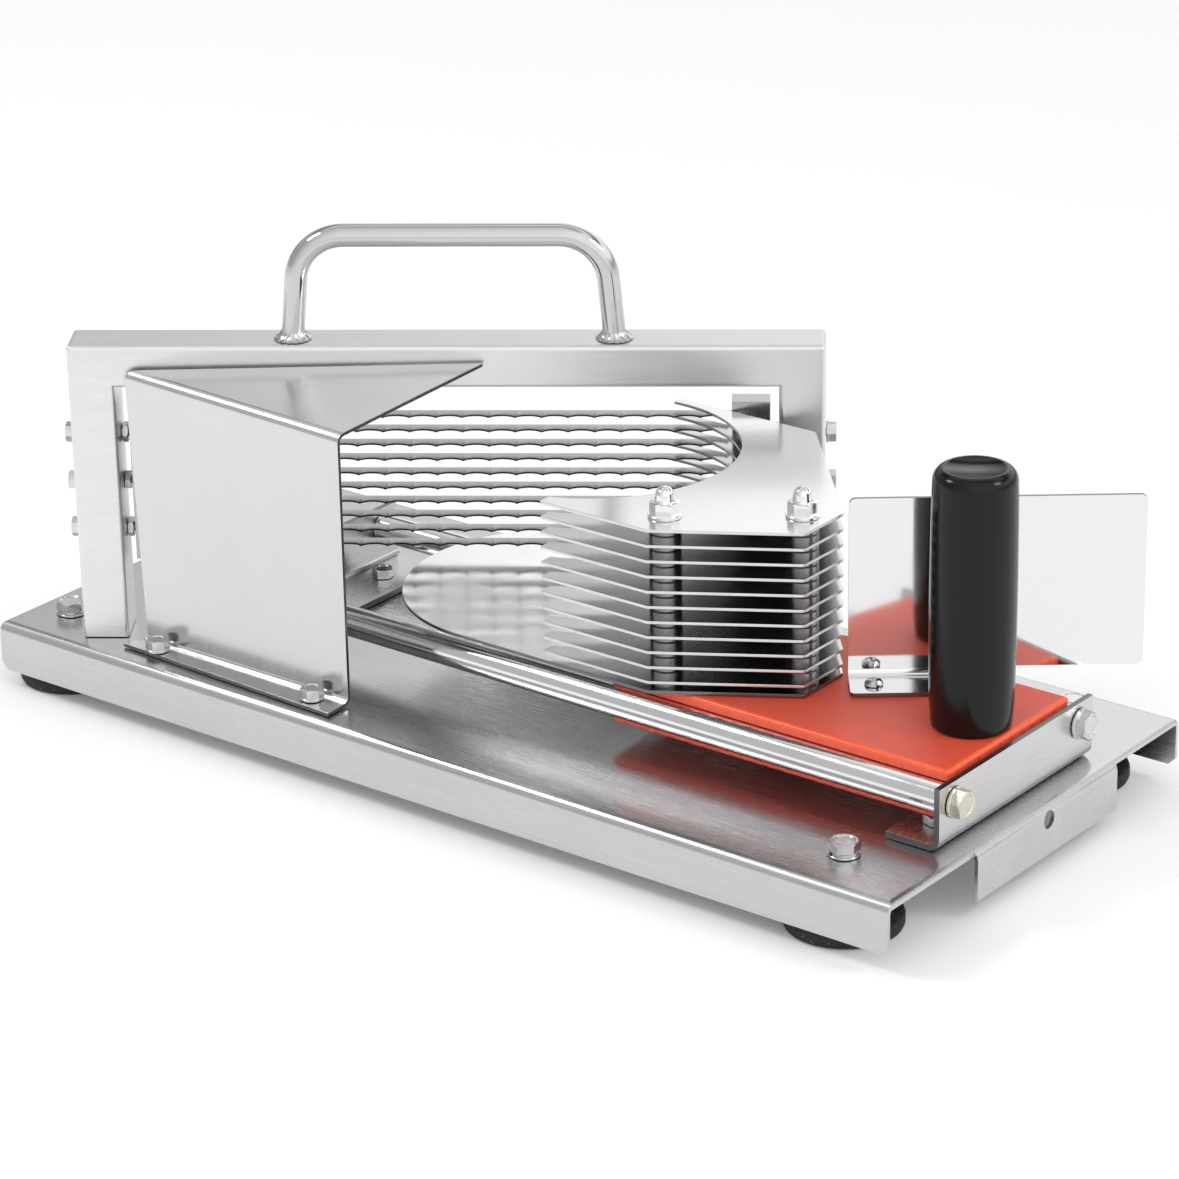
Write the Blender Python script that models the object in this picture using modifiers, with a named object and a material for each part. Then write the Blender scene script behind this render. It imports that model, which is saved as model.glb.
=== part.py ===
"""Manual horizontal tomato slicer: a diagonal blade frame on a folded base, and a
slotted pusher that slides through the blades on two rods.

Metres, +Z up.  The origin is under the middle of the base, on the plane of the
feet.  +X runs along the base towards the grip, +Y away from the front guard.
"""

import math

import bmesh
import bpy
from mathutils import Matrix, Vector

MM = 0.001
GAP = 0.3 * MM                      # clearance between neighbouring solids

# Base tray, folded from sheet
SHEET = 1.5 * MM
BASE_LENGTH = 430 * MM
BASE_WIDTH = 195 * MM
FLANGE_DEPTH = 20 * MM
BASE_BEND = 4.2 * MM
END_FLANGE_PROUD = 2 * MM
END_FLANGE_Y = (-43.5 * MM, 50.5 * MM)
END_HOLE_DIAMETER = 7 * MM
END_HOLE_DROP = 6 * MM
CORNER_CHAMFER = 3 * MM

# Feet
FOOT_STAND = 7 * MM                 # ground to the lower edge of the flanges
FOOT_RADIUS = 22 * MM
FOOT_TOP_RADIUS = 15 * MM
FOOT_X = (-198 * MM, 180 * MM)
FOOT_Y = (-73.5 * MM, 79 * MM)

BASE_TOP = FOOT_STAND + FLANGE_DEPTH

# Blade frame: a channel bent into a doorway, standing diagonally on the base
FRAME_CORNER = Vector((-176.1 * MM, -89.0 * MM, BASE_TOP))
FRAME_ANGLE = math.radians(35.2)
FRAME_WIDTH = 294 * MM
FRAME_HEIGHT = 122.4 * MM
FRAME_DEPTH = 20 * MM
FRAME_LEG = 18 * MM
FRAME_RAIL = 17 * MM

# Blades and the two bars that hold them
SLICE_PITCH = 6 * MM
BLADE_COUNT = 10
BLADE_MIDDLE = 62 * MM              # height of the stack's middle above the base
BLADE_THICKNESS = 0.6 * MM
BLADE_WIDTH = 8.3 * MM
SCALLOP_PITCH = 10.2 * MM
SCALLOP_DEPTH = 2.4 * MM
BLADE_BACK = 19 * MM                # from the frame's front face
HOLDER_WIDTH = 14.8 * MM
HOLDER_DEPTH = 10 * MM
HOLDER_HEIGHT = 66 * MM
HOLDER_INSET = 3.5 * MM             # clear of the frame's leg
BLADE_ENTRY = 9 * MM                # how far a blade reaches into its holder
TENSION_SPACING = 20 * MM
TENSION_OFFSET = 14.5 * MM          # bolt axis behind the frame's front face

# Carrying handle on the frame
CARRY_DIAMETER = 9 * MM
CARRY_MIDDLE = 150 * MM
CARRY_SPAN = 125 * MM
CARRY_RISE = 41 * MM
CARRY_SPLAY = math.radians(5.2)
CARRY_BEND = 19 * MM

# Guard in front of the blades' near end
GUARD_Y = -77.5 * MM
GUARD_LEFT_TOP = -156 * MM
GUARD_LEFT_BOTTOM = -151.5 * MM
GUARD_RIGHT = -47 * MM
GUARD_TOP_LEFT = 112.8 * MM
GUARD_TOP_RIGHT = 109.6 * MM
GUARD_PEAK = 115.5 * MM             # height where the top flange meets the frame
GUARD_REACH = 162 * MM              # how far along the frame that is
GUARD_FOOT_Y = (-87.0 * MM, -91.0 * MM)
GUARD_BOLT_X = (-140.5 * MM, -60 * MM)
GUARD_BOLT_Y = -84.3 * MM
GUARD_BEND = 2.8 * MM

# Guide rods and their end brackets
RAIL_Y = -3 * MM
ROD_DIAMETER = 12 * MM
ROD_SPACING = 83 * MM
ROD_HEIGHT = 17 * MM
BRACKET_LENGTH = 102 * MM
BRACKET_HEIGHT = 25 * MM
BRACKET_SHEET = 2.5 * MM
BRACKET_BEND = 3.4 * MM
REAR_BRACKET_X = 207.2 * MM
REAR_BRACKET_FLANGE = 23 * MM
FRONT_BRACKET_X = -131 * MM
FRONT_BRACKET_FLANGE = 28 * MM

# Sliding block
BLOCK_LENGTH = 150 * MM
BLOCK_END_X = 203.5 * MM
BLOCK_WIDTH = 81 * MM
BLOCK_BOTTOM = 7.2 * MM
BLOCK_THICKNESS = 20 * MM
GROOVE_RADIUS = 6.3 * MM
BLOCK_EDGE = 1.6 * MM

# Pusher plates and the tray under them
PLATE_COUNT = 11
PLATE_THICKNESS = 1.2 * MM
STACK_NEAR = -51.5 * MM
STACK_FAR = 66.8 * MM
CRADLE_RADIUS = 56 * MM
CRADLE_CENTRE = Vector((8.5 * MM, 6.8 * MM))
NEAR_HORN_X = 27.5 * MM
FAR_HORN_X = 4.4 * MM
STACK_SHOULDER_X = 77 * MM
STACK_BACK_X = 126 * MM
STACK_BACK_Y = (-21.3 * MM, 3.5 * MM)
STACK_FAR_SHOULDER_X = 69 * MM
TRAY_THICKNESS = 1.4 * MM
TRAY_TIP_X = -73 * MM
STACK_BOLTS = (Vector((74.5 * MM, -36.8 * MM)), Vector((115.5 * MM, -7.6 * MM)))
SPACER_DIAMETER = 12 * MM
STACK_SHANK = 6 * MM
STACK_STUD = 4.5 * MM               # reach of the stack bolts into the block

# Grip and hand guard on the block
GRIP_X = 187.5 * MM
GRIP_Y = -4 * MM
GRIP_HEIGHT = 99 * MM
HAND_GUARD_START = Vector((128.2 * MM, 3.5 * MM))
HAND_GUARD_ANGLE = math.radians(37.7)
HAND_GUARD_LENGTH = 109 * MM
HAND_GUARD_HEIGHT = 70.7 * MM
HAND_GUARD_FLANGE = 18 * MM
HAND_GUARD_FLANGE_LENGTH = 46 * MM
HAND_GUARD_UNDERCUT = 3.4 * MM
HAND_GUARD_BEND = 3.6 * MM

# Fastener sizes: thread, across flats, head height, washer diameter
M4 = (4 * MM, 7 * MM, 2.8 * MM, 9 * MM)
M5 = (5 * MM, 8 * MM, 3.5 * MM, 9.6 * MM)
M6 = (6 * MM, 10 * MM, 4 * MM, 12 * MM)
WASHER = 1.2 * MM
HOLE_CLEARANCE = 0.6 * MM           # on the diameter
ROUND = 20                          # sides of a round piece


def clear_scene():
    for item in list(bpy.data.objects):
        bpy.data.objects.remove(item, do_unlink=True)


def new_collection(name):
    collection = bpy.data.collections.new(name)
    bpy.context.scene.collection.children.link(collection)
    return collection


def material(name, colour, metallic, roughness):
    result = bpy.data.materials.new(name)
    result.use_nodes = True
    shader = result.node_tree.nodes["Principled BSDF"]
    shader.inputs["Base Color"].default_value = (*colour, 1.0)
    shader.inputs["Metallic"].default_value = metallic
    shader.inputs["Roughness"].default_value = roughness
    result.diffuse_color = (*colour, 1.0)
    return result


clear_scene()
PARTS = new_collection("tomato_slicer")
CUTTERS = new_collection("cutters")

BRUSHED = material("brushed_steel", (0.72, 0.72, 0.72), 1.0, 0.30)
MIRROR = material("polished_steel", (0.80, 0.80, 0.80), 1.0, 0.08)
BLADE_STEEL = material("blade_steel", (0.62, 0.62, 0.63), 1.0, 0.25)
ZINC = material("plated_fasteners", (0.68, 0.68, 0.66), 1.0, 0.22)
CHROME = material("chrome", (0.85, 0.85, 0.86), 1.0, 0.05)
RED = material("red_polyethylene", (0.75, 0.07, 0.03), 0.0, 0.40)
BLACK = material("black_grip", (0.01, 0.01, 0.01), 0.0, 0.12)
RUBBER = material("black_rubber", (0.015, 0.015, 0.015), 0.0, 0.75)


def place(name, mesh, surface, collection=PARTS):
    obj = bpy.data.objects.new(name, mesh)
    collection.objects.link(obj)
    if surface is not None and not mesh.materials:
        mesh.materials.append(surface)
    if collection is CUTTERS:
        obj.hide_render = True
        obj.display_type = "WIRE"
    return obj


def mesh_from(build, name):
    """A mesh filled by build(bm)."""
    bm = bmesh.new()
    build(bm)
    mesh = bpy.data.meshes.new(name)
    bm.to_mesh(mesh)
    bm.free()
    return mesh


def box(name, low, high, surface=None, collection=PARTS):
    """A box between two corners."""
    low, high = Vector(low), Vector(high)
    size = high - low

    def build(bm):
        scale = Matrix.Diagonal((*size, 1.0))
        shift = Matrix.Translation((low + high) / 2)
        bmesh.ops.create_cube(bm, size=1.0, matrix=shift @ scale)

    return place(name, mesh_from(build, name), surface, collection)


def rod(name, start, end, radius, surface=None, collection=PARTS, sides=ROUND):
    """A cylinder between two points."""
    start, end = Vector(start), Vector(end)
    axis = end - start
    turn = axis.to_track_quat("Z", "Y").to_matrix().to_4x4()

    def build(bm):
        bmesh.ops.create_cone(
            bm, cap_ends=True, segments=sides, radius1=radius, radius2=radius,
            depth=axis.length, matrix=Matrix.Translation((start + end) / 2) @ turn)

    return place(name, mesh_from(build, name), surface, collection)


def lathe(name, profile, surface=None, collection=PARTS, sides=ROUND):
    """A turned shape: (radius, height) points from the top down the outer side."""

    def build(bm):
        points = [bm.verts.new((radius, 0.0, height)) for radius, height in profile]
        for first, second in zip(points, points[1:]):
            bm.edges.new((first, second))

    obj = place(name, mesh_from(build, name), surface, collection)
    screw = obj.modifiers.new("turn", "SCREW")
    screw.steps = sides
    screw.render_steps = sides
    screw.use_merge_vertices = True
    screw.merge_threshold = 0.00001
    return obj


def flat_curve(name, outline, thickness, low):
    """A flat outline of the given thickness, standing on the height low."""
    curve = bpy.data.curves.new(name, "CURVE")
    curve.dimensions = "2D"
    curve.fill_mode = "BOTH"
    curve.extrude = thickness / 2
    spline = curve.splines.new("POLY")
    spline.points.add(len(outline) - 1)
    for point, (x, y) in zip(spline.points, outline):
        point.co = (x, y, 0.0, 1.0)
    spline.use_cyclic_u = True
    obj = bpy.data.objects.new(name, curve)
    PARTS.objects.link(obj)
    obj.location.z = low + thickness / 2
    return obj


def baked(obj):
    """The object's evaluated mesh in world space, in place of the object."""
    bpy.context.view_layer.update()
    evaluated = obj.evaluated_get(bpy.context.evaluated_depsgraph_get())
    mesh = bpy.data.meshes.new_from_object(evaluated)
    mesh.transform(obj.matrix_world)
    mesh.name = obj.name
    bm = bmesh.new()
    bm.from_mesh(mesh)
    bmesh.ops.remove_doubles(bm, verts=bm.verts, dist=0.000002)
    bm.to_mesh(mesh)
    bm.free()
    bpy.data.objects.remove(obj, do_unlink=True)
    return mesh


def boolean(obj, cutter, operation="DIFFERENCE"):
    modifier = obj.modifiers.new(operation.lower(), "BOOLEAN")
    modifier.operation = operation
    modifier.solver = "EXACT"
    modifier.object = cutter


def bevel(obj, width, segments=2, angle=30, weight=False):
    modifier = obj.modifiers.new("bevel", "BEVEL")
    modifier.width = width
    modifier.segments = segments
    modifier.limit_method = "WEIGHT" if weight else "ANGLE"
    modifier.angle_limit = math.radians(angle)


def smooth(mesh, angle=35):
    mesh.shade_smooth()
    mesh.set_sharp_from_angle(angle=math.radians(angle))


def sheet_metal(name, points, faces, thickness, bend, surface):
    """A bent sheet: an open surface whose shared edges are rounded, then thickened."""

    def build(bm):
        corners = [bm.verts.new(point) for point in points]
        for face in faces:
            bm.faces.new([corners[index] for index in face])
        bmesh.ops.recalc_face_normals(bm, faces=bm.faces)
        layer = bm.edges.layers.float.new("bevel_weight_edge")
        for edge in bm.edges:
            edge[layer] = 1.0 if len(edge.link_faces) == 2 else 0.0

    obj = place(name, mesh_from(build, name), surface)
    bevel(obj, bend, 3, weight=True)
    solidify = obj.modifiers.new("sheet", "SOLIDIFY")
    solidify.thickness = thickness
    solidify.offset = 0.0
    solidify.use_even_offset = True
    return obj


def bolt_mesh(name, size, length, washer=True):
    """A hexagon bolt with its washer, its seat at the origin and its shank down -Z."""
    thread, flats, head, washer_diameter = size
    seat = WASHER if washer else 0.0
    if washer:
        profile = [(0.0, seat), (washer_diameter / 2, seat), (washer_diameter / 2, 0.0)]
    else:
        profile = [(0.0, head * 0.5), (thread / 2, head * 0.5)]
    profile += [(thread / 2, 0.0), (thread / 2, -length), (0.0, -length)]
    body = lathe(name, profile, ZINC, sides=12)
    hexagon = rod(name + "_head", (0, 0, seat - 0.2 * MM if washer else 0), (0, 0, seat + head),
                  flats / math.sqrt(3), collection=CUTTERS, sides=6)
    boolean(body, hexagon, "UNION")
    mesh = baked(body)
    bpy.data.objects.remove(hexagon, do_unlink=True)
    smooth(mesh)
    return mesh


def put_bolt(name, mesh, seat, direction):
    """A bolt whose head points along direction, seated a gap above the given point."""
    direction = Vector(direction).normalized()
    obj = place(name, mesh, ZINC)
    obj.location = Vector(seat) + direction * GAP
    obj.rotation_mode = "QUATERNION"
    obj.rotation_quaternion = direction.to_track_quat("Z", "Y")
    return obj


def hole(obj, start, end, diameter):
    """A round clearance hole between two points."""
    cutter = rod(obj.name + "_hole", start, end, (diameter + HOLE_CLEARANCE) / 2,
                 collection=CUTTERS, sides=12)
    boolean(obj, cutter)


# ---------------------------------------------------------------- base and feet

half_length = BASE_LENGTH / 2
half_width = BASE_WIDTH / 2
end_face = half_length + END_FLANGE_PROUD

base = box("base_tray", (-end_face, -half_width, FOOT_STAND), (end_face, half_width, BASE_TOP), BRUSHED)


def mark_top_edges(mesh, height):
    layer = mesh.attributes.new("bevel_weight_edge", "FLOAT", "EDGE")
    for edge in mesh.edges:
        heights = [mesh.vertices[index].co.z for index in edge.vertices]
        layer.data[edge.index].value = 1.0 if min(heights) > height - 0.0001 else 0.0


mark_top_edges(base.data, BASE_TOP)
bevel(base, BASE_BEND, 3, weight=True)

hollow = box("base_hollow", (-end_face + SHEET, -half_width + SHEET, FOOT_STAND - 5 * MM),
             (end_face - SHEET, half_width - SHEET, BASE_TOP - SHEET), collection=CUTTERS)
mark_top_edges(hollow.data, BASE_TOP - SHEET)
bevel(hollow, BASE_BEND - SHEET, 2, weight=True)
boolean(base, hollow)

for side in (-1, 1):
    for low, high in ((-half_width - 1 * MM, END_FLANGE_Y[0]), (END_FLANGE_Y[1], half_width + 1 * MM)):
        ends = sorted((side * half_length, side * (end_face + 1 * MM)))
        notch = box("base_notch", (ends[0], low, FOOT_STAND - 1 * MM), (ends[1], high, BASE_TOP + 1 * MM),
                    collection=CUTTERS)
        boolean(base, notch)
    for y in (-half_width, half_width):
        chamfer = rod("base_chamfer", (side * half_length, y - 2 * MM, FOOT_STAND),
                      (side * half_length, y + 2 * MM, FOOT_STAND), CORNER_CHAMFER,
                      collection=CUTTERS, sides=4)
        boolean(base, chamfer)
    hole(base, (side * (end_face - 4 * MM), sum(END_FLANGE_Y) / 2, BASE_TOP - END_HOLE_DROP),
         (side * (end_face + 4 * MM), sum(END_FLANGE_Y) / 2, BASE_TOP - END_HOLE_DROP),
         END_HOLE_DIAMETER - HOLE_CLEARANCE)

foot_height = BASE_TOP - SHEET - GAP
foot_profile = [
    (M6[0] / 2 + 0.3 * MM, foot_height), (FOOT_TOP_RADIUS, foot_height),
    (FOOT_TOP_RADIUS, FOOT_STAND - GAP), (FOOT_RADIUS - 1 * MM, FOOT_STAND - 0.8 * MM),
    (FOOT_RADIUS, FOOT_STAND - 2.5 * MM), (FOOT_RADIUS, 1.5 * MM), (FOOT_RADIUS - 1.5 * MM, 0.0), (0.0, 0.0),
]
foot_bore = [(0.0, 8 * MM), (M6[0] / 2 + 0.3 * MM, 8 * MM)]


def foot_mesh():
    """A rubber foot with a blind bore for its bolt, from the bore's floor round to it."""
    obj = lathe("foot", foot_bore + foot_profile, RUBBER, sides=ROUND)
    mesh = baked(obj)
    smooth(mesh)
    return mesh


rubber_foot = foot_mesh()
foot_bolt = bolt_mesh("foot_bolt", M6, SHEET + 14 * MM)
foot_names = {(0, 0): "front_left", (1, 0): "front_right", (0, 1): "back_left", (1, 1): "back_right"}
for (column, row), corner in foot_names.items():
    x, y = FOOT_X[column], FOOT_Y[row]
    foot = place("foot_" + corner, rubber_foot, RUBBER)
    foot.location = (x, y, 0.0)
    hole(base, (x, y, BASE_TOP - 5 * MM), (x, y, BASE_TOP + 5 * MM), M6[0])
    put_bolt("foot_bolt_" + corner, foot_bolt, (x, y, BASE_TOP), (0, 0, 1))

# ---------------------------------------------------------------- blade frame

along = Vector((math.cos(FRAME_ANGLE), math.sin(FRAME_ANGLE), 0.0))
behind = Vector((-math.sin(FRAME_ANGLE), math.cos(FRAME_ANGLE), 0.0))


def on_frame(u, back, height):
    """World point at u along the frame, back behind its face, height over the base."""
    return FRAME_CORNER + along * u + behind * back + Vector((0, 0, height))


def turn_to_frame(obj):
    """Moves an object built at the frame's corner into its place on the base."""
    obj.location = FRAME_CORNER
    obj.rotation_euler.z = FRAME_ANGLE


frame = box("blade_frame", (0, 0, GAP), (FRAME_WIDTH, FRAME_DEPTH, FRAME_HEIGHT), BRUSHED)
turn_to_frame(frame)
bevel(frame, 1.2 * MM, 2)

window = box("frame_window", (FRAME_LEG, -5 * MM, -5 * MM),
             (FRAME_WIDTH - FRAME_LEG, FRAME_DEPTH + 5 * MM, FRAME_HEIGHT - FRAME_RAIL),
             collection=CUTTERS)
channel_boxes = (
    ((SHEET, SHEET, GAP + SHEET), (FRAME_LEG - SHEET, FRAME_DEPTH + 5 * MM, FRAME_HEIGHT - SHEET)),
    ((FRAME_WIDTH - FRAME_LEG + SHEET, SHEET, GAP + SHEET),
     (FRAME_WIDTH - SHEET, FRAME_DEPTH + 5 * MM, FRAME_HEIGHT - SHEET)),
    ((SHEET, SHEET, FRAME_HEIGHT - FRAME_RAIL + SHEET),
     (FRAME_WIDTH - SHEET, FRAME_DEPTH + 5 * MM, FRAME_HEIGHT - SHEET)),
)
for cutter in [window] + [box("frame_channel", low, high, collection=CUTTERS) for low, high in channel_boxes]:
    turn_to_frame(cutter)
    boolean(frame, cutter)

# ---------------------------------------------------------------- blades

blade_ends = (FRAME_LEG + HOLDER_INSET + HOLDER_WIDTH - BLADE_ENTRY,
              FRAME_WIDTH - FRAME_LEG - HOLDER_INSET - HOLDER_WIDTH + BLADE_ENTRY)
blade_heights = [BLADE_MIDDLE + SLICE_PITCH * (index - (BLADE_COUNT - 1) / 2) for index in range(BLADE_COUNT)]


def blade_outline():
    """A straight back and a scalloped edge, between plain ends inside the holders."""
    start, end = blade_ends
    plain = BLADE_ENTRY + 2 * MM
    teeth = round((end - start - 2 * plain) / SCALLOP_PITCH)
    pitch = (end - start - 2 * plain) / teeth
    cusp = BLADE_BACK - BLADE_WIDTH
    edge = [(start, cusp + SCALLOP_DEPTH), (start + plain, cusp + SCALLOP_DEPTH)]
    for tooth in range(teeth):
        for share, depth in ((0.0, 0.0), (0.3, 0.85), (0.7, 0.85)):
            edge.append((start + plain + pitch * (tooth + share), cusp + SCALLOP_DEPTH * depth))
    edge += [(end - plain, cusp), (end - plain + 0.01 * MM, cusp + SCALLOP_DEPTH), (end, cusp + SCALLOP_DEPTH)]
    edge[1] = (start + plain - 0.01 * MM, cusp + SCALLOP_DEPTH)
    return edge + [(end, BLADE_BACK), (start, BLADE_BACK)]


blade_shape = baked(flat_curve("blade", blade_outline(), BLADE_THICKNESS, -BLADE_THICKNESS / 2))
for number, height in enumerate(reversed(blade_heights), start=1):
    blade = place("blade_%02d" % number, blade_shape, BLADE_STEEL)
    turn_to_frame(blade)
    blade.location.z += height

holder_bottom = BLADE_MIDDLE - HOLDER_HEIGHT / 2 + 1 * MM
holder_starts = {"left": FRAME_LEG + HOLDER_INSET, "right": FRAME_WIDTH - FRAME_LEG - HOLDER_INSET - HOLDER_WIDTH}
holders = {}
for side, start in holder_starts.items():
    holder = box("blade_holder_" + side, (start, BLADE_BACK + 0.5 * MM - HOLDER_DEPTH, holder_bottom),
                 (start + HOLDER_WIDTH, BLADE_BACK + 0.5 * MM, holder_bottom + HOLDER_HEIGHT), BRUSHED)
    turn_to_frame(holder)
    holders[side] = holder
    inner = start + HOLDER_WIDTH if side == "left" else start
    reach = (BLADE_ENTRY + GAP) * (-1 if side == "left" else 1)
    low, high = sorted((inner + reach, inner - math.copysign(1 * MM, reach)))
    for height in blade_heights:
        half_slot = BLADE_THICKNESS / 2 + GAP
        slot = box("blade_slot", (low, -1 * MM, height - half_slot), (high, 30 * MM, height + half_slot),
                   collection=CUTTERS)
        turn_to_frame(slot)
        boolean(holder, slot)

tension_bolt = bolt_mesh("tension_bolt", M4, FRAME_LEG + HOLDER_INSET + 4 * MM)
for side, u, outward in (("left", 0.0, -along), ("right", FRAME_WIDTH, along)):
    for number, step in enumerate((1, 0, -1), start=1):
        height = BLADE_MIDDLE + step * TENSION_SPACING
        seat = on_frame(u, TENSION_OFFSET, height)
        put_bolt("tension_bolt_%s_%d" % (side, number), tension_bolt, seat, outward)
        depth = FRAME_LEG + HOLDER_INSET + 5 * MM
        hole(frame, seat + outward * 2 * MM, seat - outward * (FRAME_LEG + 1.5 * MM), M4[0])
        hole(holders[side], seat - outward * (FRAME_LEG + 2 * MM), seat - outward * depth, M4[0])

# ---------------------------------------------------------------- carrying handle


def carry_path():
    """Half the handle from its foot to mid-span, then mirrored, in the frame's plane."""
    radius = CARRY_DIAMETER / 2
    foot = Vector((CARRY_SPAN / 2, FRAME_HEIGHT + GAP + radius * math.sin(CARRY_SPLAY)))
    lean = Vector((-math.sin(CARRY_SPLAY), math.cos(CARRY_SPLAY)))
    turn = math.pi / 2 - CARRY_SPLAY
    tangent = CARRY_BEND * math.tan(turn / 2)
    corner = foot + lean * (CARRY_RISE / math.cos(CARRY_SPLAY))
    start = corner - lean * tangent
    inward = Vector((-lean.y, lean.x))
    centre = start + inward * CARRY_BEND
    half = [foot]
    steps = 7
    for step in range(steps + 1):
        angle = -turn * step / steps
        arm = start - centre
        half.append(centre + Vector((arm.x * math.cos(angle) + arm.y * math.sin(angle),
                                     -arm.x * math.sin(angle) + arm.y * math.cos(angle))))
    half.append(Vector((0.0, half[-1].y)))
    return half + [Vector((-point.x, point.y)) for point in half[-2::-1]], radius


path, bar_radius = carry_path()
curve = bpy.data.curves.new("carrying_handle", "CURVE")
curve.dimensions = "3D"
curve.bevel_depth = bar_radius
curve.bevel_resolution = 4
curve.use_fill_caps = True
spline = curve.splines.new("POLY")
spline.points.add(len(path) - 1)
for point, (u, height) in zip(spline.points, path):
    point.co = (*on_frame(CARRY_MIDDLE + u, FRAME_DEPTH / 2, height), 1.0)
tube = bpy.data.objects.new("carrying_handle_tube", curve)
PARTS.objects.link(tube)
handle_mesh = baked(tube)
smooth(handle_mesh)
place("carrying_handle", handle_mesh, MIRROR)

# ---------------------------------------------------------------- front guard

guard_low = BASE_TOP + GAP + SHEET / 2
frame_touch = on_frame(GUARD_REACH, -SHEET - GAP, GUARD_PEAK)
guard_points = [
    (GUARD_LEFT_BOTTOM, GUARD_Y, guard_low),
    (GUARD_RIGHT, GUARD_Y, guard_low),
    (GUARD_RIGHT, GUARD_Y, BASE_TOP + GUARD_TOP_RIGHT),
    (GUARD_LEFT_TOP, GUARD_Y, BASE_TOP + GUARD_TOP_LEFT),
    (GUARD_RIGHT + 1 * MM, GUARD_FOOT_Y[1], guard_low),
    (GUARD_LEFT_BOTTOM - 5 * MM, GUARD_FOOT_Y[0], guard_low),
    tuple(frame_touch),
]
guard = sheet_metal("front_guard", guard_points, [(0, 1, 2, 3), (1, 0, 5, 4), (2, 6, 3)],
                    SHEET, GUARD_BEND, BRUSHED)
guard_bolt = bolt_mesh("guard_bolt", M5, SHEET * 2 + 6 * MM)
for side, x in zip(("left", "right"), GUARD_BOLT_X):
    y = GUARD_BOLT_Y
    hole(guard, (x, y, BASE_TOP - 2 * MM), (x, y, BASE_TOP + 6 * MM), M5[0])
    hole(base, (x, y, BASE_TOP - 5 * MM), (x, y, BASE_TOP + 5 * MM), M5[0])
    put_bolt("guard_bolt_" + side, guard_bolt, (x, y, BASE_TOP + GAP + SHEET), (0, 0, 1))

# ---------------------------------------------------------------- rods and brackets

rod_z = BASE_TOP + ROD_HEIGHT
rod_ys = {"near": RAIL_Y - ROD_SPACING / 2, "far": RAIL_Y + ROD_SPACING / 2}
rod_ends = (FRONT_BRACKET_X + BRACKET_SHEET + GAP, REAR_BRACKET_X - BRACKET_SHEET - GAP)
rod_bolt = bolt_mesh("rod_bolt", M6, BRACKET_SHEET + 12 * MM)

brackets = {}
for name, x, flange, side in (("rear_bracket", REAR_BRACKET_X, REAR_BRACKET_FLANGE, 1),
                              ("front_bracket", FRONT_BRACKET_X, FRONT_BRACKET_FLANGE, -1)):
    wall = x - side * BRACKET_SHEET / 2
    low = BASE_TOP + GAP + BRACKET_SHEET / 2
    near, far = RAIL_Y - BRACKET_LENGTH / 2, RAIL_Y + BRACKET_LENGTH / 2
    tip = x - side * flange
    points = [(tip, near, low), (tip, far, low), (wall, far, low), (wall, near, low),
              (wall, far, BASE_TOP + BRACKET_HEIGHT), (wall, near, BASE_TOP + BRACKET_HEIGHT)]
    brackets[name] = sheet_metal(name, points, [(0, 1, 2, 3), (3, 2, 4, 5)], BRACKET_SHEET,
                                 BRACKET_BEND, BRUSHED)

for label, y in rod_ys.items():
    guide = rod("guide_rod_" + label, (rod_ends[0], y, rod_z), (rod_ends[1], y, rod_z),
                ROD_DIAMETER / 2, MIRROR, sides=24)
    for name, x, side in (("rear", REAR_BRACKET_X, 1), ("front", FRONT_BRACKET_X, -1)):
        inside = x - side * (BRACKET_SHEET + 13 * MM)
        hole(brackets[name + "_bracket"], (x + side * 4 * MM, y, rod_z), (x - side * 4 * MM, y, rod_z), M6[0])
        hole(guide, (x, y, rod_z), (inside, y, rod_z), M6[0])
        put_bolt("rod_bolt_%s_%s" % (name, label), rod_bolt, (x, y, rod_z), (side, 0, 0))
    smooth(guide.data)

bracket_bolt = bolt_mesh("bracket_bolt", M5, BRACKET_SHEET + SHEET + 6 * MM, washer=False)
for name, x, y in (("rear", REAR_BRACKET_X - 12 * MM, RAIL_Y - 35 * MM),
                   ("front", FRONT_BRACKET_X + 15 * MM, RAIL_Y + 27 * MM)):
    hole(brackets[name + "_bracket"], (x, y, BASE_TOP - 2 * MM), (x, y, BASE_TOP + 8 * MM), M5[0])
    hole(base, (x, y, BASE_TOP - 5 * MM), (x, y, BASE_TOP + 5 * MM), M5[0])
    put_bolt("bracket_bolt_" + name, bracket_bolt, (x, y, BASE_TOP + GAP + BRACKET_SHEET), (0, 0, 1))

# ---------------------------------------------------------------- carriage

carriage = bpy.data.objects.new("carriage_slide", None)
PARTS.objects.link(carriage)
carriage.location = (BLOCK_END_X, RAIL_Y, rod_z)
carriage_pieces = []

block_low = BASE_TOP + BLOCK_BOTTOM
block_top = block_low + BLOCK_THICKNESS
block = box("slide_block", (BLOCK_END_X - BLOCK_LENGTH, RAIL_Y - BLOCK_WIDTH / 2, block_low),
            (BLOCK_END_X, RAIL_Y + BLOCK_WIDTH / 2, block_top), RED)
bevel(block, BLOCK_EDGE, 2)
for y in rod_ys.values():
    groove = rod("block_groove", (BLOCK_END_X - BLOCK_LENGTH - 5 * MM, y, rod_z),
                 (BLOCK_END_X + 5 * MM, y, rod_z), GROOVE_RADIUS, collection=CUTTERS, sides=24)
    boolean(block, groove)
carriage_pieces.append(block)

tray_low = block_top + GAP
plate_heights = [BLADE_MIDDLE + SLICE_PITCH * (index - (PLATE_COUNT - 1) / 2) for index in range(PLATE_COUNT)]


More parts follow.
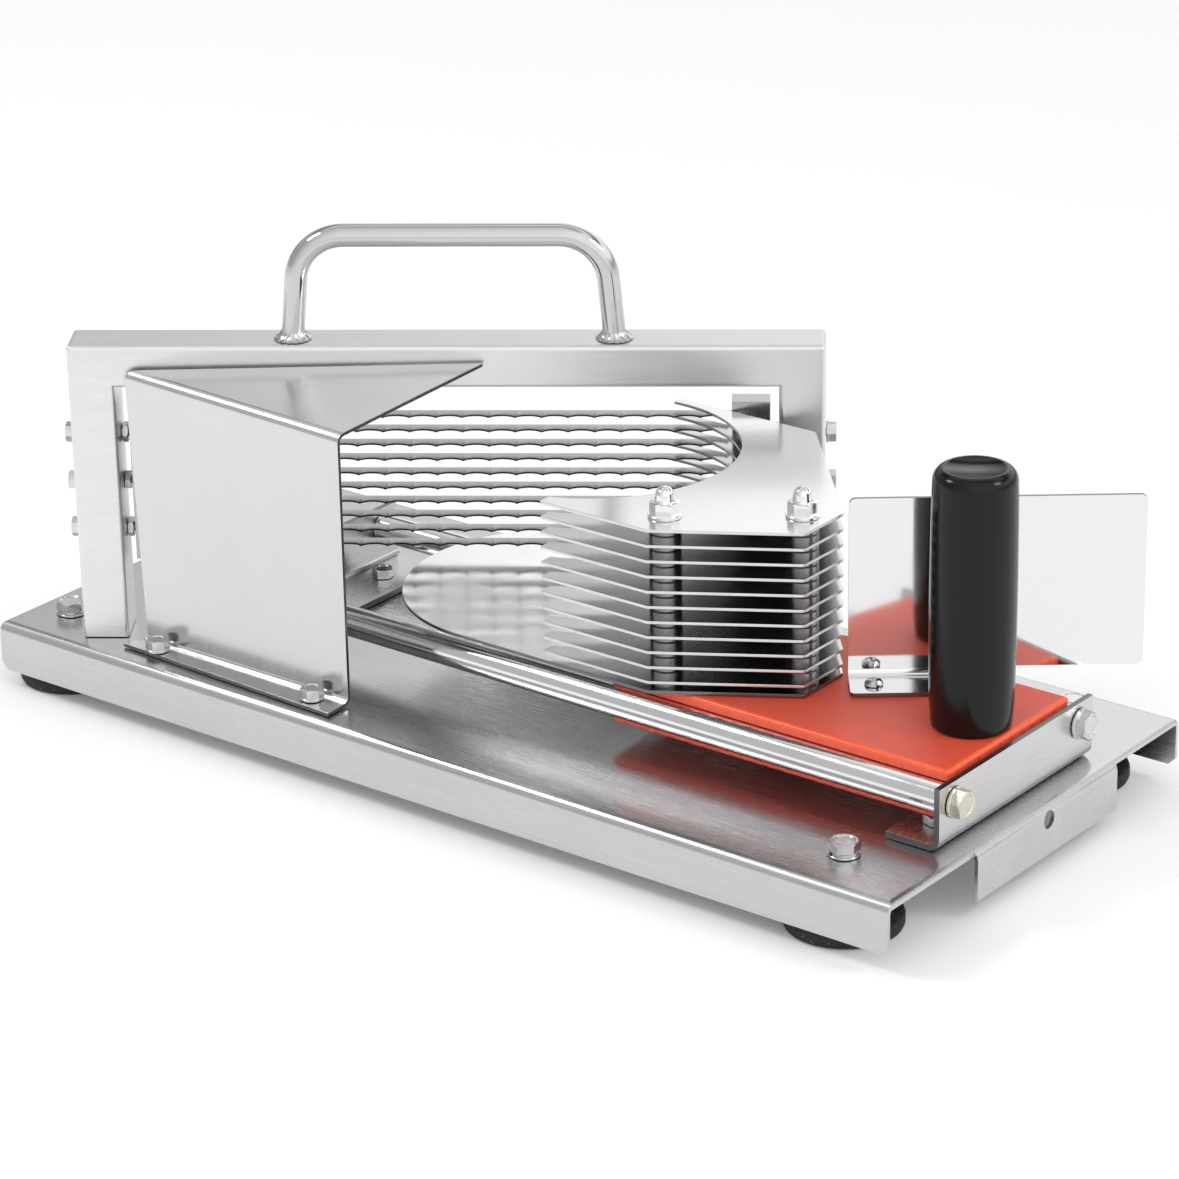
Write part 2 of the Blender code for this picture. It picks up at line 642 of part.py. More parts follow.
def stack_rear():
    """The shared rear outline of plates and tray, from the near edge round to the far edge."""
    return [(STACK_SHOULDER_X, STACK_NEAR), (STACK_BACK_X, STACK_BACK_Y[0]),
            (STACK_BACK_X, STACK_BACK_Y[1]), (STACK_FAR_SHOULDER_X, STACK_FAR)]


def plate_outline():
    """The rear outline and two horns round the cradle arc that holds the tomato."""
    centre = CRADLE_CENTRE
    start = math.acos((FAR_HORN_X - centre.x) / CRADLE_RADIUS)
    end = -math.acos((NEAR_HORN_X - centre.x) / CRADLE_RADIUS)
    arc = []
    steps = 18
    for step in range(steps + 1):
        angle = start + (end - start) * step / steps
        arc.append((centre.x + CRADLE_RADIUS * math.cos(angle), centre.y + CRADLE_RADIUS * math.sin(angle)))
    return [(NEAR_HORN_X, STACK_NEAR)] + stack_rear() + [(FAR_HORN_X, STACK_FAR)] + arc


def tray_outline():
    """The rear outline closed by a half-round nose."""
    radius = (STACK_FAR - STACK_NEAR) / 2
    centre = (TRAY_TIP_X + radius, (STACK_FAR + STACK_NEAR) / 2)
    nose = []
    steps = 24
    for step in range(steps + 1):
        angle = math.pi / 2 + math.pi * step / steps
        nose.append((centre[0] + radius * math.cos(angle), centre[1] + radius * math.sin(angle)))
    return stack_rear() + nose


def drilled(name, outline, thickness, surface):
    """A flat plate at the origin's height with clearance holes for the two stack bolts."""
    plate = place(name, baked(flat_curve(name, outline, thickness, 0.0)), surface)
    for bolt in STACK_BOLTS:
        hole(plate, (bolt.x, bolt.y, -2 * MM), (bolt.x, bolt.y, 5 * MM), STACK_SHANK)
    return baked(plate)


plate_shape = drilled("pusher_plate", plate_outline(), PLATE_THICKNESS, BRUSHED)
for number, height in enumerate(reversed(plate_heights), start=1):
    plate = place("pusher_plate_%02d" % number, plate_shape, BRUSHED)
    plate.location.z = BASE_TOP + height - PLATE_THICKNESS / 2
    carriage_pieces.append(plate)
tray = place("pusher_tray", drilled("pusher_tray", tray_outline(), TRAY_THICKNESS, MIRROR), MIRROR)
tray.location.z = tray_low
carriage_pieces.append(tray)


def stack_bolt_profile():
    """Domed nut, washer, then shank through each plate and spacer, into the block."""
    shank, spacer = STACK_SHANK / 2, SPACER_DIAMETER / 2
    top = BASE_TOP + plate_heights[-1] + PLATE_THICKNESS / 2
    nut = top + GAP + WASHER
    profile = [(0.0, nut + 10.4 * MM), (2.2 * MM, nut + 9.8 * MM), (3.7 * MM, nut + 7.8 * MM),
               (4.1 * MM, nut + 4 * MM), (6.4 * MM, nut), (6.4 * MM, top + GAP), (shank, top + GAP)]
    for height in reversed(plate_heights):
        lower = BASE_TOP + height - PLATE_THICKNESS / 2 - GAP
        below = height - SLICE_PITCH
        if height == plate_heights[0]:
            floor = tray_low + TRAY_THICKNESS + GAP
        else:
            floor = BASE_TOP + below + PLATE_THICKNESS / 2 + GAP
        profile += [(shank, lower), (spacer, lower), (spacer, floor), (shank, floor)]
    return profile + [(shank, block_top - STACK_STUD), (0.0, block_top - STACK_STUD)]


for label, bolt in zip(("near", "far"), STACK_BOLTS):
    post = lathe("stack_bolt_" + label, stack_bolt_profile(), CHROME, sides=10)
    post.location = (bolt.x, bolt.y, 0.0)
    nut_low = BASE_TOP + plate_heights[-1] + PLATE_THICKNESS / 2 + GAP + WASHER
    hexagon = rod("nut_" + label, (bolt.x, bolt.y, nut_low - 0.4 * MM), (bolt.x, bolt.y, nut_low + 4.6 * MM),
                  10 * MM / math.sqrt(3), collection=CUTTERS, sides=6)
    boolean(post, hexagon, "UNION")
    carriage_pieces.append(post)
    hole(block, (bolt.x, bolt.y, block_top - STACK_STUD - GAP), (bolt.x, bolt.y, block_top + 2 * MM),
         STACK_SHANK)

grip_base = block_top + GAP
grip_stud = 14 * MM
grip_profile = [
    (0.0, GRIP_HEIGHT), (11.4 * MM, GRIP_HEIGHT), (13.7 * MM, GRIP_HEIGHT - 1.0 * MM),
    (15.1 * MM, GRIP_HEIGHT - 3.2 * MM), (15.5 * MM, GRIP_HEIGHT - 7.5 * MM),
    (15.8 * MM, 0.72 * GRIP_HEIGHT), (15.9 * MM, 0.5 * GRIP_HEIGHT), (15.6 * MM, 0.25 * GRIP_HEIGHT),
    (14.9 * MM, 1.2 * MM), (14.2 * MM, 0.0), (4 * MM, 0.0), (4 * MM, -grip_stud), (0.0, -grip_stud),
]
grip = lathe("grip", grip_profile, BLACK, sides=24)
grip.location = (GRIP_X, GRIP_Y, grip_base)
smooth(grip.data)
hole(block, (GRIP_X, GRIP_Y, grip_base - grip_stud - GAP), (GRIP_X, GRIP_Y, block_top + 2 * MM), 8 * MM)
carriage_pieces.append(grip)

# Hand guard: a plate nearly parallel to the blades, with a foot bent towards the user
guard_foot = block_top + GAP + SHEET / 2
guard_along = Vector((math.cos(HAND_GUARD_ANGLE), math.sin(HAND_GUARD_ANGLE), 0.0))
guard_behind = Vector((-math.sin(HAND_GUARD_ANGLE), math.cos(HAND_GUARD_ANGLE), 0.0))


def on_hand_guard(u, out, height):
    """World point along the hand guard, out towards the user, height over its foot."""
    start = HAND_GUARD_START.to_3d()
    return start + guard_along * u - guard_behind * out + Vector((0, 0, guard_foot + height))


hand_points = [
    on_hand_guard(0, 0, 0), on_hand_guard(HAND_GUARD_FLANGE_LENGTH, 0, 0),
    on_hand_guard(HAND_GUARD_FLANGE_LENGTH, 0, HAND_GUARD_UNDERCUT),
    on_hand_guard(HAND_GUARD_LENGTH, 0, HAND_GUARD_UNDERCUT),
    on_hand_guard(HAND_GUARD_LENGTH, 0, HAND_GUARD_HEIGHT - 3 * MM),
    on_hand_guard(HAND_GUARD_LENGTH - 3 * MM, 0, HAND_GUARD_HEIGHT),
    on_hand_guard(3 * MM, 0, HAND_GUARD_HEIGHT), on_hand_guard(0, 0, HAND_GUARD_HEIGHT - 3 * MM),
    on_hand_guard(HAND_GUARD_FLANGE_LENGTH, HAND_GUARD_FLANGE, 0), on_hand_guard(0, HAND_GUARD_FLANGE, 0),
]
hand_guard = sheet_metal("hand_guard", hand_points, [(0, 1, 2, 3, 4, 5, 6, 7), (1, 0, 9, 8)],
                         SHEET, HAND_GUARD_BEND, MIRROR)
carriage_pieces.append(hand_guard)

screw_seat = on_hand_guard(9 * MM, 10 * MM, SHEET / 2)
hand_screw = put_bolt("hand_guard_screw", bolt_mesh("hand_guard_screw", M4, 12 * MM, washer=False),
                      screw_seat, (0, 0, 1))
hole(hand_guard, screw_seat - Vector((0, 0, 5 * MM)), screw_seat + Vector((0, 0, 5 * MM)), M4[0])
hole(block, screw_seat - Vector((0, 0, 14 * MM)), screw_seat + Vector((0, 0, 2 * MM)), M4[0])
carriage_pieces.append(hand_screw)

bpy.context.view_layer.update()
for piece in carriage_pieces:
    piece.parent = carriage
    piece.matrix_parent_inverse = carriage.matrix_world.inverted()
bpy.context.view_layer.update()
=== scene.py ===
"""Looks of the manual tomato slicer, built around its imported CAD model.

Metres, +Z up, in the CAD model's frame: the origin is on the table under the middle
of the base, +X runs towards the grip and +Y away from the front guard.
"""

import math

import bmesh
import bpy
from mathutils import Matrix, Vector


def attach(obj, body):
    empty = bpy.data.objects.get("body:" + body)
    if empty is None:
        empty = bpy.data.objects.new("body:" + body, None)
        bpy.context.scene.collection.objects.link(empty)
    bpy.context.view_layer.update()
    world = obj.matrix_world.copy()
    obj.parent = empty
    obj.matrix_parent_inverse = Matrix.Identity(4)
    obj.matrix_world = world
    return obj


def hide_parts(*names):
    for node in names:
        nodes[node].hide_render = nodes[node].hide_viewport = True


MM = 0.001
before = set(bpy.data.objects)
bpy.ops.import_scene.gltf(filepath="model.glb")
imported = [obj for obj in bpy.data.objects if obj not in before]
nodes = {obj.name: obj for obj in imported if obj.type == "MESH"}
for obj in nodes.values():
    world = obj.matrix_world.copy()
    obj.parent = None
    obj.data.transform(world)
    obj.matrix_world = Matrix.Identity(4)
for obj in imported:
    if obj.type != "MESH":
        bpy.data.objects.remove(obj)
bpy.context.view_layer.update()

# The CAD model's driving sizes, repeated here
BASE_TOP = 27 * MM
FOOT_STAND = 7 * MM
SHEET = 1.5 * MM
GAP = 0.3 * MM
FOOT_X = (-198 * MM, 180 * MM)
FOOT_Y = (-73.5 * MM, 79 * MM)
FRAME_CORNER = Vector((-176.1 * MM, -89.0 * MM, BASE_TOP))
FRAME_ANGLE = math.radians(35.2)
FRAME_WIDTH = 294 * MM
FRAME_HEIGHT = 122.4 * MM
FRAME_DEPTH = 20 * MM
FRAME_LEG = 18 * MM
FRAME_RAIL = 17 * MM
ALONG_FRAME = Vector((math.cos(FRAME_ANGLE), math.sin(FRAME_ANGLE), 0.0))
BEHIND_FRAME = Vector((-math.sin(FRAME_ANGLE), math.cos(FRAME_ANGLE), 0.0))
SLICE_PITCH = 6 * MM
BLADE_COUNT = 10
BLADE_MIDDLE = 62 * MM
BLADE_THICKNESS = 0.6 * MM
BLADE_WIDTH = 8.3 * MM
BLADE_BACK = 19 * MM
SCALLOP_PITCH = 10.2 * MM
SCALLOP_DEPTH = 2.4 * MM
HOLDER_WIDTH = 14.8 * MM
HOLDER_INSET = 3.5 * MM
BLADE_ENTRY = 9 * MM
TENSION_SPACING = 20 * MM
TENSION_OFFSET = 14.5 * MM
CARRY_MIDDLE = 150 * MM
CARRY_SPAN = 125 * MM
CARRY_RISE = 41 * MM
CARRY_SPLAY = math.radians(5.2)
CARRY_BEND = 19 * MM
CARRY_RADIUS = 4.5 * MM
GUARD_LEFT_X = -151.5 * MM
GUARD_RIGHT_X = -47 * MM
GUARD_Y = -77.5 * MM
GUARD_RISE = (112.8 * MM, 109.6 * MM)
GUARD_TOUCH = (162 * MM, 115.5 * MM)
GUARD_BEND = 2.8 * MM
GUARD_BOLTS_X = (-140.5 * MM, -60 * MM)
GUARD_BOLTS_Y = -84.3 * MM
RAIL_Y = -3 * MM
ROD_RADIUS = 6 * MM
ROD_SPACING = 83 * MM
ROD_Z = BASE_TOP + 17 * MM
REAR_BRACKET_X = 207.2 * MM
FRONT_BRACKET_X = -131 * MM
BRACKET_SHEET = 2.5 * MM
BRACKET_HEIGHT = 25 * MM
BRACKET_LENGTH = 102 * MM
BRACKET_BEND = 3.4 * MM
BLOCK_TOP = BASE_TOP + 27.2 * MM
BLOCK_END_X = 203.5 * MM
PLATE_COUNT = 11
PLATE_THICKNESS = 1.2 * MM
TRAY_THICKNESS = 1.4 * MM
STACK_NEAR = -51.5 * MM
STACK_FAR = 66.8 * MM
CRADLE_RADIUS = 56 * MM
CRADLE_CENTRE = Vector((8.5 * MM, 6.8 * MM))
STACK_REAR = ((77 * MM, STACK_NEAR), (126 * MM, -21.3 * MM), (126 * MM, 3.5 * MM), (69 * MM, STACK_FAR))
HORNS_X = (27.5 * MM, 4.4 * MM)
TRAY_TIP_X = -73 * MM
STACK_BOLTS = (Vector((74.5 * MM, -36.8 * MM)), Vector((115.5 * MM, -7.6 * MM)))
GRIP_SPOT = Vector((187.5 * MM, -4 * MM))
GRIP_HEIGHT = 99 * MM
GRIP_DISC = 11.4 * MM
GRIP_SHOULDER = (4.0 * MM, 5.0 * MM)
GRIP_WAIST = 14.9 * MM
GRIP_SWELL = 0.95 * MM
HAND_GUARD_START = Vector((128.2 * MM, 3.5 * MM))
HAND_GUARD_ANGLE = math.radians(37.7)
HAND_GUARD_LENGTH = 109 * MM
HAND_GUARD_HEIGHT = 70.7 * MM
HAND_GUARD_FOOT = (46 * MM, 18 * MM)
HAND_GUARD_UNDERCUT = 3.4 * MM

FIXED = "slicer"
MOVING = "carriage"


# ---------------------------------------------------------------- materials

def new_material(name):
    material = bpy.data.materials.new(name)
    material.use_nodes = True
    tree = material.node_tree
    return material, tree, tree.nodes["Principled BSDF"]


def add(tree, kind, **values):
    """A node, with its properties or input defaults set by name."""
    node = tree.nodes.new(kind)
    for key, value in values.items():
        if key in node.inputs:
            node.inputs[key].default_value = value
        else:
            setattr(node, key, value)
    return node


def stretched(tree, scale, turn=0.0):
    """Object coordinates turned about Z and then scaled, so that noise becomes streaks."""
    coordinates = add(tree, "ShaderNodeTexCoord")
    turned = add(tree, "ShaderNodeMapping")
    turned.inputs["Rotation"].default_value = (0.0, 0.0, -turn)
    scaled = add(tree, "ShaderNodeMapping")
    scaled.inputs["Scale"].default_value = scale
    tree.links.new(coordinates.outputs["Object"], turned.inputs["Vector"])
    tree.links.new(turned.outputs["Vector"], scaled.inputs["Vector"])
    return scaled.outputs["Vector"]


def noise_of(tree, scale, turn=0.0, detail=3.0, rough=0.6):
    texture = add(tree, "ShaderNodeTexNoise", Scale=1.0, Detail=detail, Roughness=rough)
    tree.links.new(stretched(tree, scale, turn), texture.inputs["Vector"])
    return texture.outputs["Fac"]


def mapped(tree, value, low, high, start=0.3, end=0.7):
    node = add(tree, "ShaderNodeMapRange")
    node.inputs["From Min"].default_value = start
    node.inputs["From Max"].default_value = end
    node.inputs["To Min"].default_value = low
    node.inputs["To Max"].default_value = high
    tree.links.new(value, node.inputs["Value"])
    return node.outputs["Result"]


def maths(tree, operation, first, second):
    node = add(tree, "ShaderNodeMath", operation=operation)
    for socket, value in zip(node.inputs, (first, second)):
        if isinstance(value, float):
            socket.default_value = value
        else:
            tree.links.new(value, socket)
    return node.outputs["Value"]


def blended(tree, first, second, share):
    """The two values added in the proportion share to 1 - share."""
    return maths(tree, "ADD", maths(tree, "MULTIPLY", first, share),
                 maths(tree, "MULTIPLY", second, 1.0 - share))


def two_tone(tree, factor, dark, light):
    node = add(tree, "ShaderNodeMix", data_type="RGBA")
    node.inputs[6].default_value = (*dark, 1.0)
    node.inputs[7].default_value = (*light, 1.0)
    tree.links.new(factor, node.inputs[0])
    return node.outputs[2]


def bump(tree, shader, height, strength, distance):
    node = add(tree, "ShaderNodeBump", Strength=strength, Distance=distance)
    tree.links.new(height, node.inputs["Height"])
    tree.links.new(node.outputs["Normal"], shader.inputs["Normal"])


def steel(name, tone, rough, spread, axis=0, turn=0.0, lines=1500.0, stretch=60.0, depth=0.25,
          patch=18.0, contrast=0.07):
    """Stainless sheet: fine grain along one axis over slow patches of shine."""
    material, tree, shader = new_material(name)
    shader.inputs["Metallic"].default_value = 1.0
    scale = [lines, lines, lines]
    scale[axis] = lines / stretch
    grain = noise_of(tree, scale, turn, detail=2.0)
    slow = [patch * 3, patch * 3, patch * 3]
    slow[axis] = patch
    cloud = noise_of(tree, slow, turn, detail=4.0)
    both = blended(tree, grain, cloud, 0.5)
    tree.links.new(mapped(tree, both, rough - spread, rough + spread), shader.inputs["Roughness"])
    dark = tuple(channel * (1 - contrast) for channel in tone)
    light = tuple(min(1.0, channel * (1 + contrast)) for channel in tone)
    tree.links.new(two_tone(tree, mapped(tree, both, 0.0, 1.0), dark, light), shader.inputs["Base Color"])
    bump(tree, shader, grain, depth, 0.00004)
    return material


def polished(name, tone, rough, waves=0.06):
    """Bright polished steel with faint smears."""
    material, tree, shader = new_material(name)
    shader.inputs["Metallic"].default_value = 1.0
    shader.inputs["Base Color"].default_value = (*tone, 1.0)
    smear = noise_of(tree, (45.0, 45.0, 45.0), detail=5.0)
    tree.links.new(mapped(tree, smear, rough * 0.5, rough * 1.6), shader.inputs["Roughness"])
    wave = noise_of(tree, (14.0, 14.0, 14.0), detail=1.0)
    bump(tree, shader, wave, waves, 0.0006)
    return material


def plated(name, tone, rough):
    """Plated fastener: small mottled crystals and darker handled patches."""
    material, tree, shader = new_material(name)
    shader.inputs["Metallic"].default_value = 1.0
    mottle = noise_of(tree, (420.0, 420.0, 420.0), detail=4.0)
    patch = noise_of(tree, (90.0, 90.0, 90.0), detail=2.0)
    dark = tuple(channel * 0.72 for channel in tone)
    tree.links.new(two_tone(tree, mapped(tree, patch, 0.0, 1.0), dark, tone), shader.inputs["Base Color"])
    tree.links.new(mapped(tree, mottle, rough * 0.6, rough * 1.5), shader.inputs["Roughness"])
    bump(tree, shader, mottle, 0.25, 0.00006)
    return material


def see_through(shader, weight):
    """Lets light into red plastic a little way."""
    shader.inputs["Subsurface Weight"].default_value = weight
    shader.inputs["Subsurface Radius"].default_value = (0.004, 0.0012, 0.0006)
    shader.inputs["Subsurface Scale"].default_value = 1.0


def red_board(name):
    """Polyethylene board: a fine pressed weave, slightly glossy, with a warmer core."""
    material, tree, shader = new_material(name)
    weave = None
    for direction in ("X", "Y"):
        wave = add(tree, "ShaderNodeTexWave", bands_direction=direction)
        wave.inputs["Scale"].default_value = 0.5
        wave.inputs["Distortion"].default_value = 0.6
        wave.inputs["Detail"].default_value = 2.0
        wave.inputs["Detail Scale"].default_value = 0.4
        tree.links.new(stretched(tree, (640.0, 640.0, 640.0), math.radians(8)), wave.inputs["Vector"])
        bands = wave.outputs["Fac"]
        weave = bands if weave is None else maths(tree, "MULTIPLY", weave, bands)
    cloud = noise_of(tree, (30.0, 30.0, 30.0), detail=3.0)
    tone = two_tone(tree, blended(tree, weave, cloud, 0.55), (0.72, 0.072, 0.036), (0.95, 0.150, 0.082))
    tree.links.new(tone, shader.inputs["Base Color"])
    tree.links.new(mapped(tree, weave, 0.24, 0.42, 0.0, 1.0), shader.inputs["Roughness"])
    see_through(shader, 0.12)
    bump(tree, shader, weave, 0.6, 0.0003)
    return material


def red_chamfer_with_highlight(name):
    """The board's milled edge: smoother and glossier than its face, with a lighter, more orange tone that
    is a painted highlight.
    """
    material, tree, shader = new_material(name)
    cloud = noise_of(tree, (160.0, 160.0, 160.0), detail=3.0)
    # Painted highlight: the chamfer's tone is lighter and more orange than the board's face.
    tone = two_tone(tree, cloud, (0.86, 0.085, 0.022), (0.98, 0.16, 0.06))
    tree.links.new(tone, shader.inputs["Base Color"])
    tree.links.new(mapped(tree, cloud, 0.20, 0.32), shader.inputs["Roughness"])
    see_through(shader, 0.2)
    bump(tree, shader, cloud, 0.15, 0.0002)
    return material


def black_gloss(name):
    """Moulded black grip with a soft orange peel under its gloss."""
    material, tree, shader = new_material(name)
    peel = noise_of(tree, (260.0, 260.0, 120.0), detail=2.0)
    dust = noise_of(tree, (900.0, 900.0, 900.0), detail=2.0)
    tone = two_tone(tree, dust, (0.003, 0.003, 0.0035), (0.006, 0.006, 0.0065))
    tree.links.new(tone, shader.inputs["Base Color"])
    tree.links.new(mapped(tree, peel, 0.10, 0.20), shader.inputs["Roughness"])
    shader.inputs["Specular IOR Level"].default_value = 0.28
    bump(tree, shader, peel, 0.12, 0.0002)
    return material


def rubber(name):
    """Black rubber with light specks."""
    material, tree, shader = new_material(name)
    speck = noise_of(tree, (800.0, 800.0, 800.0), detail=1.0)
    tree.links.new(two_tone(tree, mapped(tree, speck, 0.0, 1.0, 0.60, 0.72), (0.010, 0.010, 0.010),
                            (0.10, 0.10, 0.10)), shader.inputs["Base Color"])
    tree.links.new(mapped(tree, speck, 0.6, 0.9), shader.inputs["Roughness"])
    bump(tree, shader, speck, 0.5, 0.0003)
    return material


BASE_STEEL = steel("base_steel", (0.59, 0.59, 0.595), 0.26, 0.05, depth=0.08, contrast=0.07)
FRAME_STEEL = steel("frame_steel", (0.76, 0.76, 0.765), 0.38, 0.05, depth=0.18)
GUARD_STEEL = steel("guard_steel", (0.66, 0.66, 0.665), 0.22, 0.05, axis=2, depth=0.12, patch=9.0,
                    contrast=0.04)
BRACKET_STEEL = steel("bracket_steel", (0.62, 0.62, 0.625), 0.27, 0.06, axis=1, depth=0.2)
PLATE_STEEL = steel("plate_steel", (0.74, 0.74, 0.745), 0.20, 0.05, axis=1, depth=0.10, contrast=0.04)
# Painted shade: a darker copy of the plate steel for the plates under the top one.
PLATE_STEEL_SHADED = steel("plate_steel_painted_shade", (0.60, 0.60, 0.605), 0.20, 0.05, axis=1, depth=0.10,
                    contrast=0.04)
PLATE_RIM = steel("plate_rim", (0.72, 0.72, 0.725), 0.34, 0.05, axis=2)
HOLDER_STEEL = steel("holder_steel", (0.46, 0.46, 0.465), 0.26, 0.06, axis=2)
BLADE_STEEL = steel("blade_steel", (0.42, 0.42, 0.425), 0.26, 0.06, depth=0.15)
# Painted shade: the blade's ground edge is near-black, giving the dark line along each blade.
BLADE_EDGE_SHADE = steel("blade_edge_painted_shade", (0.030, 0.030, 0.031), 0.30, 0.05, axis=1, lines=3000.0,
                   stretch=12.0)
# Painted shade: the cut rims of the sheets are painted dark to give dark outlines along their edges.
SHEET_RIM_SHADE = steel("sheet_rim_painted_shade", (0.20, 0.20, 0.205), 0.30, 0.05, axis=2)
TRAY_STEEL = polished("tray_steel", (0.84, 0.84, 0.845), 0.15, 0.012)
GUARD_MIRROR = polished("hand_guard_steel", (0.80, 0.80, 0.81), 0.07, 0.015)
BAR_STEEL = polished("handle_steel", (0.58, 0.58, 0.58), 0.13, 0.02)
ROD_CHROME = polished("rod_chrome", (0.80, 0.80, 0.81), 0.11, 0.02)
NUT_CHROME = polished("nut_chrome", (0.84, 0.84, 0.85), 0.10)
SPACER_STEEL = steel("spacer_steel", (0.40, 0.40, 0.405), 0.24, 0.05, axis=2)
BOLT_ZINC = plated("bolt_zinc", (0.76, 0.76, 0.75), 0.20)
BOLT_YELLOW = plated("bolt_yellow_zinc", (0.80, 0.76, 0.66), 0.20)
RED = red_board("red_board")
RED_CHAMFER_HIGHLIGHT = red_chamfer_with_highlight("red_chamfer_painted_highlight")
BLACK = black_gloss("grip_black")
RUBBER = rubber("foot_rubber")


# ---------------------------------------------------------------- mesh tools

def finished(mesh, angle=30):
    mesh.shade_smooth()
    mesh.set_sharp_from_angle(angle=math.radians(angle))
    return mesh


def mesh_of(bm, name, angle=30):
    bmesh.ops.recalc_face_normals(bm, faces=bm.faces)
    mesh = bpy.data.meshes.new(name)
    bm.to_mesh(mesh)
    bm.free()
    return finished(mesh, angle)


def ring_loft(bm, rings):
    """Joins closed rings of points with quads and caps both ends. A ring of one point is a pole."""
    rows = [[bm.verts.new(point) for point in ring] for ring in rings]
    for first, second in zip(rows, rows[1:]):
        count = max(len(first), len(second))
        for index in range(count):
            after = (index + 1) % count
            corners = []
            for row, position in ((first, index), (first, after), (second, after), (second, index)):
                vertex = row[position % len(row)]
                if vertex not in corners:
                    corners.append(vertex)
            if len(corners) > 2:
                bm.faces.new(corners)
    for row in (rows[0], rows[-1]):
        if len(row) > 2:
            bm.faces.new(row)


def circle(radius, height, sides):
    if radius < 1e-7:
        return [Vector((0.0, 0.0, height))]
    turn = 2 * math.pi / sides
    return [Vector((radius * math.cos(turn * index), radius * math.sin(turn * index), height))
            for index in range(sides)]


def turned(bm, profile, sides):
    """A turned body from (radius, height) points along its outside."""
    ring_loft(bm, [circle(radius, height, sides) for radius, height in profile])


def hexagon(bm, flats, low, height, chamfer_both=False, dish=0.0):
    """A hexagon head or nut with its corners turned down to a chamfer."""
    sides = 48
    flat_radius = flats / 2

    def outline(shrink, level):
        ring = []
        for index in range(sides):
            angle = 2 * math.pi * index / sides
            within = (angle + math.pi / 6) % (math.pi / 3) - math.pi / 6
            radius = flat_radius / math.cos(within)
            drop = max(0.0, radius - shrink) * math.tan(math.radians(30))
            ring.append(Vector((radius * math.cos(angle), radius * math.sin(angle), level(drop))))
        return ring

    top = low + height
    edge = flat_radius * 0.97
    rings = [circle(edge, low, sides),
             outline(edge, lambda drop: low + (drop if chamfer_both else 0.0)),
             outline(edge, lambda drop: top - drop), circle(edge, top, sides),
             circle(edge * 0.82, top, sides), circle(edge * 0.74, top - dish, sides),
             [Vector((0.0, 0.0, top - dish))]]
    ring_loft(bm, rings)


def split_washer(bm, inner, outer, low, height):
    """A spring washer: a square ring with a gap and a slight rise."""
    steps = 40
    rings = []
    for step in range(steps + 1):
        share = step / steps
        angle = math.radians(8 + 344 * share)
        under = Vector((0, 0, low + 0.25 * height * share))
        over = Vector((0, 0, under.z + 0.75 * height))
        around = Vector((math.cos(angle), math.sin(angle), 0.0))
        rings.append([around * inner + under, around * outer + under,
                      around * outer + over, around * inner + over])
    ring_loft(bm, rings)


def threaded(bm, radius, high, low, pitch):
    """A shank whose profile zigzags like a thread, from high down to low."""
    profile = [(0.0, high), (radius, high)]
    turns = int((high - low) / pitch)
    for index in range(turns):
        level = high - pitch * index
        profile += [(radius, level - 0.2 * pitch), (radius * 0.86, level - 0.6 * pitch)]
    profile += [(radius * 0.9, low), (0.0, low)]
    turned(bm, profile, 24)


def washer(bm, inner, outer, low, height):
    soft = 0.18 * height
    turned(bm, [(inner, low + height), (outer - soft, low + height), (outer, low + height - soft),
                (outer, low + soft), (outer - soft, low), (inner, low)], 48)


def place_holders(mesh):
    """Two slots that a mesh's face indices can point at until show() fills them."""
    for _ in range(2):
        mesh.materials.append(BLACK)


def show(name, mesh, surface, body, stands_for, at=None):
    """Puts a mesh in the scene on its body, in the place of the CAD nodes it stands for."""
    obj = bpy.data.objects.new(name, mesh)
    bpy.context.scene.collection.objects.link(obj)
    chosen = [face.material_index for face in mesh.polygons]
    mesh.materials.clear()
    surfaces = surface if isinstance(surface, (list, tuple)) else [surface]
    for item in surfaces:
        mesh.materials.append(item)
    last = len(surfaces) - 1
    mesh.polygons.foreach_set("material_index", [min(index, last) for index in chosen])
    if at is not None:
        obj.matrix_world = at
    bpy.context.view_layer.update()
    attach(obj, body)
    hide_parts(*stands_for)
    return obj


def evaluated(obj):
    """The object's mesh with its modifiers, in world space; the object is removed."""
    bpy.context.view_layer.update()
    graph = bpy.context.evaluated_depsgraph_get()
    mesh = bpy.data.meshes.new_from_object(obj.evaluated_get(graph))
    mesh.transform(obj.matrix_world)
    bpy.data.objects.remove(obj, do_unlink=True)
    return mesh


def loose(mesh):
    """A working object that holds the mesh until evaluated() removes it."""
    obj = bpy.data.objects.new(mesh.name + "_work", mesh)
    bpy.context.scene.collection.objects.link(obj)
    return obj


def box_mesh(low, high):
    low, high = Vector(low), Vector(high)
    bm = bmesh.new()
    bmesh.ops.create_cube(bm, size=1.0, matrix=Matrix.Translation((low + high) / 2)
                          @ Matrix.Diagonal((*(high - low), 1.0)))
    mesh = bpy.data.meshes.new("box")
    bm.to_mesh(mesh)
    bm.free()
    return mesh


def cut(mesh, cutters):
    """The mesh with each cutter mesh taken out of it, cleaned to whole flat faces."""
    body = loose(mesh)
    tools = []
    for cutter in cutters:
        tool = loose(cutter)
        tools.append(tool)
        modifier = body.modifiers.new("cut", "BOOLEAN")
        modifier.operation = "DIFFERENCE"
        modifier.solver = "EXACT"
        modifier.object = tool
    result = evaluated(body)
    for tool in tools:
        bpy.data.objects.remove(tool, do_unlink=True)
    return tidy(result)


def tidy(mesh):
    bm = bmesh.new()
    bm.from_mesh(mesh)
    bmesh.ops.remove_doubles(bm, verts=bm.verts, dist=2e-6)
    bmesh.ops.dissolve_limit(bm, angle_limit=math.radians(0.2), verts=bm.verts, edges=bm.edges)
    bm.to_mesh(mesh)
    bm.free()
    return mesh


